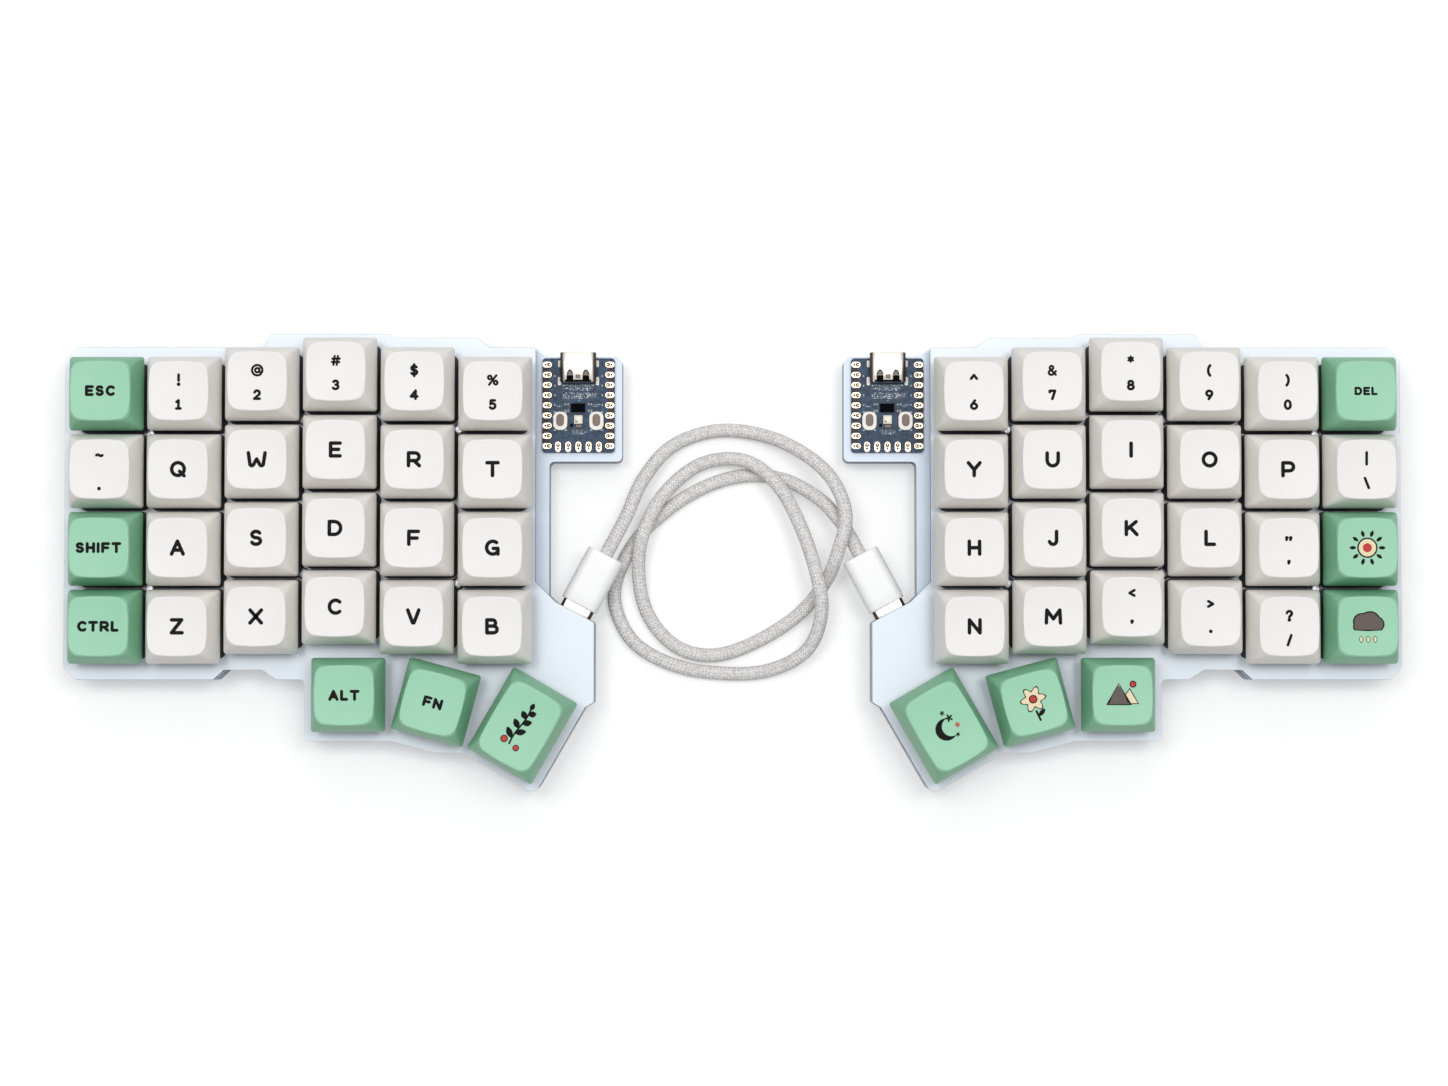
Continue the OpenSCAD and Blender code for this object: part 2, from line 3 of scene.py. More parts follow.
import bpy
import numpy as np
from mathutils import Matrix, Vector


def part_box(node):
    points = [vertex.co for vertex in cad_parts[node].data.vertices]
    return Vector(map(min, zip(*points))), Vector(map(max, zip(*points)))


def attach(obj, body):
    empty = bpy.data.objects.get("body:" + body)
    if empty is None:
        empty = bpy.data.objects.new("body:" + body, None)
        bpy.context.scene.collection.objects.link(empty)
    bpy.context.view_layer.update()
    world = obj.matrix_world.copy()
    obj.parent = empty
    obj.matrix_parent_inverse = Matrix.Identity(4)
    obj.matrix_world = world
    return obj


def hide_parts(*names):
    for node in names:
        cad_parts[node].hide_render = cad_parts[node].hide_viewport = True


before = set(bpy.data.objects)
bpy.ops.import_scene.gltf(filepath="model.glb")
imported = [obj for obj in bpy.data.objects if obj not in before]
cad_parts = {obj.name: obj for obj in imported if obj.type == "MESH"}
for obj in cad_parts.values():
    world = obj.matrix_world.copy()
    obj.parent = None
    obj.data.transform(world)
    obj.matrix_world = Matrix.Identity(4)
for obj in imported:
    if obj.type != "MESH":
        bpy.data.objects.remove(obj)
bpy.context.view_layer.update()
print("frame loaded with", len(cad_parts), "nodes")

mm = 0.001  # lengths below are in millimetres
scene = bpy.context.scene
scene.view_settings.view_transform = "Standard"


# camera, almost straight above the desk
lookDown = {
    "eye": (-4.3, -22.8, 725), "tilt": 2.215, "swing": -0.166, "lens": 71.6, "sensor": 36, "nearest": 10}
cameraData = bpy.data.cameras.new("deskCamera")
cameraData.lens = lookDown["lens"]
cameraData.sensor_width = lookDown["sensor"]
cameraData.clip_start = lookDown["nearest"] * mm
camera = bpy.data.objects.new("deskCamera", cameraData)
camera.location = [v * mm for v in lookDown["eye"]]
camera.rotation_euler = (radians(lookDown["tilt"]), radians(lookDown["swing"]), 0)
scene.collection.objects.link(camera)
scene.camera = camera
print("camera set")


# shader maths: a wired socket that takes part in sums
class Wire:
    def __init__(self, graph, socket):
        self.graph, self.socket = graph, socket

    def math(self, operation, *others):
        return self.graph.node("Math", {"operation": operation}, dict(enumerate((self, *others))))

    def clamped(self):
        return self.math("MINIMUM", 1).math("MAXIMUM", 0)

    def beside(self, out):
        # another output of the same node
        return Wire(self.graph, self.socket.node.outputs[out])

    def __add__(self, other):
        return self.math("ADD", other)

    def __mul__(self, other):
        return self.math("MULTIPLY", other)

    __radd__, __rmul__ = __add__, __mul__

    def __sub__(self, other):
        return self.math("SUBTRACT", other)

    def __rsub__(self, other):
        return self.graph.node("Math", {"operation": "SUBTRACT"}, {0: other, 1: self})


class Graph:
    def __init__(self, tree):
        self.tree = tree

    def node(self, kind, settings, sockets, out=0):
        made = self.tree.nodes.new("ShaderNode" + kind)
        for key, value in settings.items():
            setattr(made, key, value)
        for key, value in sockets.items():
            self.join(made.inputs[key], value)
        return Wire(self, made.outputs[out])

    def join(self, socket, value):
        if isinstance(value, Wire):
            self.tree.links.new(value.socket, socket)
        else:
            socket.default_value = value

    def whiteRays(self):
        # one for rays that see the backdrop straight, in metal or through glass
        straight = self.node("LightPath", {}, {}, "Is Camera Ray")
        inMetal, inGlass = straight.beside("Is Glossy Ray"), straight.beside("Is Transmission Ray")
        return straight.math("MAXIMUM", inMetal).math("MAXIMUM", inGlass)

    def show(self, output, shader):
        self.join(self.tree.nodes[output].inputs["Surface"], shader)


class Finish(Graph):
    def __init__(self, name, **fixed):
        self.material = bpy.data.materials.new(name)
        self.material.use_nodes = True
        super().__init__(self.material.node_tree)
        self.surface = self.tree.nodes["Principled BSDF"]
        for socket, value in fixed.items():
            self.set(socket, value)

    def set(self, socket, value):
        self.join(self.surface.inputs[socket.replace("_", " ")], value)

    def here(self, kind="Object"):
        return self.node("TexCoord", {}, {}, kind)

    def noise(self, size, detail=2):
        # clouds about that many millimetres across, from 0 to 1
        return self.node("TexNoise", {}, {"Vector": self.here(), "Scale": 1 / (size * mm), "Detail": detail})

    def mix(self, low, high, factor):
        return self.node("Mix", {"data_type": "RGBA"}, {0: factor, 6: low, 7: high}, 2)

    def paint(self, low, high, factor):
        # a colour between two screen colours
        self.set("Base Color", self.mix(tint(*low), tint(*high), factor))

    def bump(self, height, depth, strength=1.0):
        bumped = self.node("Bump", {}, {"Strength": strength, "Distance": depth * mm, "Height": height})
        self.set("Normal", bumped)


def tint(red, green, blue):
    # screen colour from 0 to 255 as light
    part = np.array([red, green, blue]) / 255
    light = np.where(part <= 0.04045, part / 12.92, ((part + 0.055) / 1.055) ** 2.4)
    return (*light.tolist(), 1.0)


def mottled(name, low, high, clouds, rough=None, grain=None, **fixed):
    # two colours mixed in clouds; roughness is a base and a span times clouds, the grain clouds of some depth
    finish = Finish(name, **fixed)
    finish.paint(low, high, finish.noise(*clouds))
    if rough:
        base, span, *roughClouds = rough
        finish.set("Roughness", finish.noise(*roughClouds) * span + base)
    if grain:
        depth, *grainClouds = grain
        finish.bump(finish.noise(*grainClouds), depth)
    return finish


# mesh helpers: each part is its points and its groups of faces
def circle(angle):
    # points one unit from the middle
    return np.stack([np.cos(angle), np.sin(angle)], -1)


def loft(rings):
    # rows of ring points joined by quads, with both ends drawn together at their middles
    rings = np.asarray(rings, float)
    rows, cols = rings.shape[:2]
    grid = np.arange(rows * cols).reshape(rows, cols)
    turned = np.roll(grid, -1, axis=1)
    quads = np.stack([grid[:-1], turned[:-1], turned[1:], grid[1:]], axis=-1).reshape(-1, 4)
    firstPole, lastPole = np.full(cols, rows * cols), np.full(cols, rows * cols + 1)
    start = np.stack([firstPole, turned[0], grid[0]], axis=-1)
    end = np.stack([lastPole, grid[-1], turned[-1]], axis=-1)
    points = np.vstack([rings.reshape(-1, 3), rings[0].mean(axis=0), rings[-1].mean(axis=0)])
    return points, [quads, start, end]


def roundedRing(halfX, halfY, radius, bulge=0, arc=6, side=5):
    # quarter circles at the corners of a rectangle, and sides that swell between them by a parabola
    given = [np.atleast_1d(np.asarray(v, float)) for v in (halfX, halfY, radius, bulge)]
    halfX, halfY, radius, bulge = np.broadcast_arrays(*given)
    quadrants = np.array([[1, 1], [-1, 1], [-1, -1], [1, -1]])
    corner = np.stack([halfX - radius, halfY - radius], -1)[:, None] * quadrants
    around = circle((np.arange(4)[:, None] + np.linspace(0, 1, arc + 1)) * pi / 2)
    arcs = corner[:, :, None] + radius[:, None, None, None] * around
    start, end = arcs[:, :, -1], np.roll(arcs[:, :, 0], -1, axis=1)
    along = (np.arange(1, side + 1) / (side + 1))[:, None]
    swell = bulge[:, None, None, None] * 4 * along * (1 - along) * around[None, :, -1, None]
    sides = start[:, :, None] + (end - start)[:, :, None] * along + swell
    return np.concatenate([arcs, sides], axis=2).reshape(len(halfX), -1, 2)


def lifted(flat, height):
    # flat rings raised to one height each
    height = np.broadcast_to(np.asarray(height, float).reshape(-1, 1, 1), (*flat.shape[:2], 1))
    return np.concatenate([flat, height], axis=-1)


def block(width, length, low, high, radius=0.2, edge=0.08, arc=3):
    # a slab with rounded corners and a small bevel at its lower and upper edge
    inset = np.array([edge, 0, 0, edge])
    flat = roundedRing(width / 2 - inset, length / 2 - inset, np.maximum(radius - inset, 0.01), 0, arc, 0)
    return loft(lifted(flat, [low, low + edge, high - edge, high]))


def lathe(profile, cols=24):
    # a profile of radius and height carried round a circle
    radius, height = np.array(profile, float).T
    return loft(lifted(radius[:, None, None] * circle(np.arange(cols) * 2 * pi / cols), height))


def placed(part, at=(0, 0, 0), turn=0, flip=False):
    # turned about the upright axis, moved, and mirrored for the right half
    points, faces = part
    c, s = cos(radians(turn)), sin(radians(turn))
    points = np.asarray(points) @ np.array([[c, s, 0], [-s, c, 0], [0, 0, 1]]) + at
    return (points * (-1, 1, 1), [np.asarray(f)[:, ::-1] for f in faces]) if flip else (points, faces)


def laidAlong(part, at, turn, height, flip=False):
    # lays a part that was lofted upwards on its side: its own up points out of the port
    points = np.asarray(part[0])[:, [0, 2, 1]] * (-1, 1, 1)
    return placed((points + (0, 0, height), part[1]), at, turn, flip)


def splitSides(part, reach):
    # the faces further out than the reach, and the rest
    points, (quads, *rest) = part
    far = np.abs(points[quads][:, :, 0]).mean(axis=1) > reach
    return points, [quads[far], quads[~far], *rest]


class Shape:
    def __init__(self):
        self.points, self.faces, self.slots, self.count = [], [], [], 0

    def add(self, part, slot=0):
        points, faces = part
        for group, given in zip(faces, slot if isinstance(slot, tuple) else (slot,) * len(faces)):
            self.faces += (np.asarray(group) + self.count).tolist()
            self.slots += [given] * len(group)
        self.points.append(np.asarray(points, float).reshape(-1, 3))
        self.count += len(self.points[-1])
        return self

    def make(self, name, finishes, body="halves", crease=35):
        mesh = bpy.data.meshes.new(name)
        mesh.from_pydata((np.concatenate(self.points) * mm).tolist(), [], self.faces)
        mesh.polygons.foreach_set("material_index", self.slots)
        return settled(name, mesh, finishes, body, crease)


def settled(name, mesh, finishes, body="halves", crease=35):
    # smooth but for edges sharper than the crease, and riding on its body
    mesh.polygons.foreach_set("use_smooth", [True] * len(mesh.polygons))
    mesh.set_sharp_from_angle(angle=radians(crease))
    for finish in finishes:
        mesh.materials.append(finish.material)
    piece = bpy.data.objects.new(name, mesh)
    scene.collection.objects.link(piece)
    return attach(piece, body) or piece


# heights of the stack, places on the left half, and the fit of one piece in another
stack = {
    "base": 2.0, "baseTop": 3.6, "board": 6.6, "boardTop": 8.2, "plate": 11.6, "plateTop": 13.2,
    "housingTop": 19.8, "skirt": 19.5, "fit": 0.05}
halfAt = np.array([-58.4, 41.1301])
port = {"at": np.array([19.275, -53.5]), "turn": -28, "axis": 9.8, "setBack": 0.3}
portOut = np.array([-sin(radians(port["turn"])), cos(radians(port["turn"]))])
portAt = np.array([*(halfAt + port["at"]), 0])
plugHeight = port["axis"] + stack["fit"]


# link cable: a smooth curve through the route's points, and a tube carried along it
link = {"diameter": 3.4, "sides": 24, "steps": 8, "reach": 16.2, "stubs": (0.05, 2.8, 5.6), "strands": 12}
route = np.array([
    [-26.3, 12, 9], [-22.4, 21, 5.6], [-15.5, 29.3, 2.6], [-5, 33.3, 1.9], [6, 32.6, 3],
    [16, 28.4, 6.6], [24.2, 21.2, 11], [27.9, 11.5, 13.6], [25.7, 1.8, 12.3], [23.1, -4.6, 7.6],
    [16.5, -12.8, 3.2], [5.5, -19.8, 1.9], [-5, -23, 1.9], [-14.5, -20.6, 1.9], [-21.4, -12.6, 2],
    [-23.6, -2, 4.2], [-22.2, 8, 6.2], [-17, 17.6, 4.4], [-8, 25, 2.6], [2.5, 25.8, 4.8],
    [10.4, 20.4, 6.8], [16, 11, 8.4], [20.2, -1, 11], [22, -12, 10], [18.6, -21.6, 5.4],
    [9, -26.8, 2.1], [-3, -27.5, 1.9], [-15, -25.4, 1.9], [-25, -19.6, 1.9], [-29.6, -10, 1.9],
    [-28, -0.8, 1.9], [-21.5, 9, 1.9], [-10, 17.8, 1.9], [2, 22, 1.9], [13, 21, 2.6],
    [21.8, 15.8, 6.8], [26.6, 10.4, 9.1]])
stubs = np.array([[*(portAt[:2] + portOut * (link["reach"] + s)), port["axis"]] for s in link["stubs"]])
knots = np.vstack([stubs, route, (stubs * (-1, 1, 1))[::-1]])
padded = np.vstack([2 * knots[0] - knots[1], knots, 2 * knots[-1] - knots[-2]])
# each stretch is a cubic that leaves and meets its ends along the chords of their neighbours
before, here, ahead, after = [padded[i:len(padded) - 3 + i, None] for i in range(4)]
slope, bend = ahead - before, 2 * before - 5 * here + 4 * ahead - after
twist = 3 * (here - ahead) + after - before
way = (np.arange(link["steps"]) / link["steps"])[:, None]
line = here + way * (slope + way * (bend + way * twist)) / 2
line = np.vstack([line.reshape(-1, 3), knots[-1]])
heading = np.gradient(line, axis=0)
heading /= np.linalg.norm(heading, axis=1)[:, None]
across = np.cross([0, 0, 1], heading)
across /= np.linalg.norm(across, axis=1)[:, None]
upward = np.cross(heading, across)
sideways, upwards = circle(np.arange(link["sides"]) * 2 * pi / link["sides"]).T[..., None]
tube = line[:, None] + link["diameter"] / 2 * (across[:, None] * sideways + upward[:, None] * upwards)
run = np.concatenate([[0], np.cumsum(np.linalg.norm(np.diff(line, axis=0), axis=1))])

# braid: two sets of slanting strands that pass over and under each other in turn
braid = {"fullness": 0.42, "fleck": 0.75, "contrast": 4, "pale": 0.55, "handed": 0.3, "depth": 0.17}
sleeveBraid = Finish("sleeveBraid", Roughness=0.72, Specular_IOR_Level=0.3)
lengthwise = sleeveBraid.node("SeparateXYZ", {}, {0: sleeveBraid.here("UV")})
roundwise = lengthwise.beside(1)
hands = (lengthwise + roundwise, lengthwise - roundwise)
over = ((hands[0].math("FLOOR") + hands[1].math("FLOOR")) * 0.5).math("FRACT").math("GREATER_THAN", 0.25)
crown, crossCrown = [1 - (hand.math("FRACT") - 0.5).math("ABSOLUTE") * 2 for hand in hands]
strandHeight = (crown * over + crossCrown * (1 - over)).math("POWER", braid["fullness"])
# the strands of one hand are a little paler, and all are flecked
fleck = ((sleeveBraid.noise(braid["fleck"]) - 0.5) * braid["contrast"] + braid["pale"]).clamped()
paleShare = over * braid["handed"] + fleck * (1 - braid["handed"])
shade = sleeveBraid.mix(tint(208, 206, 203), tint(255, 255, 255), paleShare)
# painted shade: the colour darkens towards the grooves between the strands
sleeveBraid.set("Base Color", sleeveBraid.mix(tint(200, 198, 196), shade, strandHeight))
sleeveBraid.bump(strandHeight, braid["depth"])

cable = Shape().add(loft(tube)).make("braidedCable", [sleeveBraid], crease=60)
# the map runs along the cable and round it, one unit for each strand
cableMap = cable.data.uv_layers.new(name="braid")
strandRun = run * link["strands"] / (pi * link["diameter"])
column = np.arange(link["sides"])
mapAlong = np.stack([strandRun[:-1], strandRun[:-1], strandRun[1:], strandRun[1:]], -1)[:, None]
mapRound = np.stack([column, column + 1, column + 1, column], -1) * link["strands"] / link["sides"]
corners = np.stack(np.broadcast_arrays(mapAlong, mapRound), -1).reshape(-1, 2)
wrap = np.zeros((len(cable.data.loops), 2))
wrap[:len(corners)] = corners
cableMap.data.foreach_set("uv", wrap.ravel())
print("cable laid, %.1f mm long" % run[-1])


# plugs: a moulded body with soft ends and a metal shell that goes into the port
plug = {
    "width": 9.5, "height": 6.0, "length": 14.15, "corner": 2.2, "show": 2.0, "inside": 4.6,
    "shellWidth": 8.24, "shellHeight": 2.5, "shellCorner": 1.05, "shellBack": 1.0, "shellSideShade": 3.45}
plugPlastic = mottled(
    "plugPlastic", (246, 246, 246), (240, 240, 241), (2.5, 2), grain=(0.012, 0.12, 3), Roughness=0.42)
shellSteel = mottled(
    "shellSteel", (214, 212, 208), (236, 234, 230), (0.35, 3), rough=(0.26, 0.14, 0.35, 3), Metallic=1.0)
# painted shade: the flanks of the steel shells take a dark brown, darker than their tops
shellSideShade = mottled("shellSideShade", (84, 66, 60), (58, 46, 44), (0.8, 3), Metallic=0.6, Roughness=0.5)


def plugBody():
    # the section swells from both ends by a small quarter circle
    softEnd, softInset = np.array([0, 0.03, 0.12, 0.3]), np.array([0.3, 0.17, 0.06, 0])
    reach = np.concatenate([softEnd, (3, 6, 9, 12), plug["length"] - softEnd[::-1]])
    inset = np.concatenate([softInset, np.zeros(4), softInset[::-1]])
    halfX, halfY = plug["width"] / 2 - inset, plug["height"] / 2 - inset
    flat = roundedRing(halfX, halfY, plug["corner"] - inset * 0.5, 0, 6, 4)
    return loft(lifted(flat, plug["show"] + stack["fit"] + reach))


def plugShell():
    # an oval tube with a closed back, its mouth rolled in
    mouth = -plug["inside"]
    inset = np.array([0.3, 0.3, 0.1, 0, 0])
    halfX, halfY = plug["shellWidth"] / 2 - inset, plug["shellHeight"] / 2 - inset
    flat = roundedRing(halfX, halfY, plug["shellCorner"] - inset * 0.6, 0, 6, 2)
    return loft(lifted(flat, [plug["shellBack"], mouth, mouth, mouth + 0.15, plug["show"]]))


plugs, shells = Shape(), Shape()
for flip in (False, True):
    plugs.add(laidAlong(plugBody(), portAt, port["turn"], plugHeight, flip))
    sided = splitSides(plugShell(), plug["shellSideShade"])
    shells.add(laidAlong(sided, portAt, port["turn"], plugHeight, flip), (1, 0, 0, 0))
plugBodies = plugs.make("plugBodies", [plugPlastic])
plugShells = shells.make("plugShells", [shellSteel, shellSideShade])
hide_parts("link_cable")
(line * mm).tolist()
print("plugs made")


# keycaps: a square skirt whose sides lean in and round off to a dished top
cap = {
    "pitch": 19.05, "gap": 0.9, "height": 9.1, "taper": 1.9, "lean": 1.4, "skirtRadius": 0.7,
    "skirtEdge": 0.12, "topRadius": 3.0, "bulge": 0.14, "shoulder": 0.45, "rim": 0.18,
    "rimDrop": (0.17, 0.045), "wall": 1.4, "roof": 2.2, "hollowLean": 1.9, "hollowRadius": 0.6,
    "dish": 60, "dishDepth": 0.7}
dishLow = stack["skirt"] + cap["height"] - cap["dishDepth"]
# satin moulded plastic: faint clouds in the colour and a fine grain
capSatin = {
    "clouds": (7, 2), "rough": (0.44, 0.12, 0.6, 3), "grain": (0.006, 0.09, 3), "Specular_IOR_Level": 0.38}
# the sides take copies of the tops' colours: the cream sides a touch warmer than the tops, the green sides
# painted darker as shade
creamCap = mottled("creamCap", (238, 236, 234), (233, 230, 228), **capSatin)
creamSide = mottled("creamSide", (240, 237, 233), (234, 231, 227), **capSatin)
greenCap = mottled("greenCap", (157, 210, 180), (149, 204, 172), **capSatin)
greenSideShade = mottled("greenSideShade", (131, 188, 153), (123, 180, 145), **capSatin)
insideShade = mottled("insideShade", (24, 23, 24), (30, 29, 30), **capSatin)  # painted shade inside each cap: its hollow and stem post are near black, seen from below
sliderPlastic = mottled("sliderPlastic", (92, 58, 44), (84, 52, 40), **capSatin)
# inks and other matt colours, some with no gleam at all
inkMatt = {"clouds": (0.8, 2), "Roughness": 0.6, "Specular_IOR_Level": 0.25}
deadMatt = {**inkMatt, "Specular_IOR_Level": 0.0}
inkBlack = mottled("inkBlack", (12, 12, 13), (18, 17, 18), (1.2, 2), Roughness=0.7, Specular_IOR_Level=0.12)
inkRed = mottled("inkRed", (196, 66, 62), (182, 54, 50), **inkMatt)
inkCream = mottled("inkCream", (238, 224, 190), (228, 212, 176), **inkMatt)
inkGrey = mottled("inkGrey", (104, 92, 88), (92, 82, 78), **inkMatt)
capInks = [inkBlack, inkRed, inkCream, inkGrey]
black, red, cream, grey = range(4)


def dish(x, y):
    # a sphere's lower bowl
    return dishLow + cap["dish"] - np.sqrt(cap["dish"] ** 2 - x ** 2 - y ** 2)


def capBody(length):
    halfX, halfY = (cap["pitch"] - cap["gap"]) / 2, (cap["pitch"] * length - cap["gap"]) / 2
    # under the roof: the hollow's ceiling, then its walls down to the skirt
    ceiling = cap["height"] - cap["roof"]
    hollow = cap["wall"] + cap["hollowLean"] * np.array([1, 1, 0.5, 0])
    hollowHeight = stack["skirt"] + np.array([ceiling, ceiling - 0.01, ceiling / 2, 0])
    inner = lifted(roundedRing(halfX - hollow, halfY - hollow, cap["hollowRadius"]), hollowHeight)
    # sides: the inset is a power of the height, and the corner rounds off towards the top by the cube
    t = np.array([0, 0.02, 0.08, 0.2, 0.35, 0.5, 0.65, 0.78, 0.88, 0.94])
    inset = cap["taper"] * (t / 0.97) ** cap["lean"] + np.where(t == 0, cap["skirtEdge"], 0)
    radius = cap["skirtRadius"] + (cap["topRadius"] - cap["skirtRadius"]) * t ** 3
    sides = roundedRing(halfX - inset, halfY - inset, radius, cap["bulge"] * t)
    outer = lifted(sides, stack["skirt"] + t * (cap["height"] - cap["shoulder"]))
    # rim and bowl: the top outline shrinks to its middle on the sphere
    rim = cap["taper"] + cap["rim"]
    edge = roundedRing(halfX - rim, halfY - rim, cap["topRadius"] - 0.1, cap["bulge"] + 0.06)
    bowl = edge * np.array([1.012, 1, 0.985, 0.95, 0.88, 0.76, 0.62, 0.46, 0.3, 0.14])[:, None, None]
    top = np.concatenate([bowl, dish(bowl[..., 0], bowl[..., 1])[..., None]], axis=-1)
    top[:2, :, 2] -= np.array(cap["rimDrop"])[:, None]
    points, (quads, *ends) = loft(np.concatenate([inner, outer, top]))
    skirt, crest = [count * edge.shape[1] for count in (len(inner) - 1, len(inner) + len(outer) - 1)]
    return points, [quads[:skirt], quads[skirt:crest], quads[crest:], *ends]


post = {"radius": 2.75, "slotLong": 2.05, "slotThin": 0.65, "above": 0.2, "deep": 3.6, "high": 7.2}


def stemPost():
    # a round post with a cross-shaped slot; the slot's edge is the nearer of two bars in each direction
    angle = (np.array([0, 16.7, 45, 73.3])[None] + np.arange(4)[:, None] * 90).ravel() * pi / 180
    c, s = np.abs(circle(angle)).T + 1e-9
    long, thin = post["slotLong"], post["slotThin"]
    slot = np.maximum(np.minimum(long / c, thin / s), np.minimum(thin / c, long / s))
    wall = np.full(len(angle), post["radius"])
    flat = np.stack([slot, slot, wall, wall])[..., None] * circle(angle)
    low = stack["skirt"] + post["above"]
    return loft(lifted(flat, [low + post["deep"], low, low, low + post["high"]]))


slider = {
    "foot": (8.8, 7.6), "body": (7, 5.8), "cross": (4, 1.2), "sunk": 0.2, "deep": 3.0, "footTop": 1.4,
    "root": 1, "stem": 3.6}


def sliderParts():
    # a wide foot, a body in the housing's shaft, and two crossed bars that carry the cap
    top = stack["housingTop"] - slider["sunk"]
    low, root, stem = top - slider["deep"], top - slider["root"], top + slider["stem"]
    bars = [block(*size, root, stem, 0.1) for size in (slider["cross"], slider["cross"][::-1])]
    return [block(*slider["foot"], low, top - slider["footTop"]), block(*slider["body"], low, top), *bars]


# legends: each kind has a height and a weight; strokes have round ends, and one unit is the height between
# the lowest and the highest middle line
legend = {
    "word": (2.65, 0.38), "small": (2.05, 0.38), "letter": (4.0, 0.285), "mark": (2.65, 0.33),
    "fine": (2.65, 0.26), "fineMarks": "@#%&*", "upper": 2.6, "lower": -3.35, "space": 0.19,
    "lift": 0.045, "over": 0.02}
words = {"esc": "ESC", "shift": "SHIFT", "ctrl": "CTRL", "alt": "ALT", "fn": "FN", "del": "DEL"}
pairs = {
    "1": "!1", "2": "@2", "3": "#3", "4": "$4", "5": "%5", "6": "^6", "7": "&7", "8": "*8", "9": "(9",
    "0": ")0", "grave": "~.", "backslash": "|\\", "quote": "\"'",
    "comma": "<,", "period": ">:", "slash": "?/"}


def bar(*ends):
    # straight strokes from each point to the next
    return [np.array(pair, float) for pair in zip(ends[:-1], ends[1:])]


def bow(x, y, reachX, reachY, start, end):
    # part of an ellipse about a middle, between two angles in degrees
    angle = np.radians(np.linspace(start, end, max(5, int(abs(end - start) / 15))))
    return [(x, y) + (reachX, reachY) * circle(angle)]


def hoop(x, y, reachX, reachY):
    # a whole ellipse
    return bow(x, y, reachX, reachY, 0, 360)


def dot(x, y):
    # a small full circle, filled by its own stroke
    return hoop(x, y, 0.06, 0.06)


def rayStar(x, y, reach, count, turn):
    # bars from the middle to points evenly round it
    angle = np.radians(turn + np.arange(count) * 360 / count)
    return [part for a in angle for part in bar((x, y), (x + reach * cos(a), y + reach * sin(a)))]


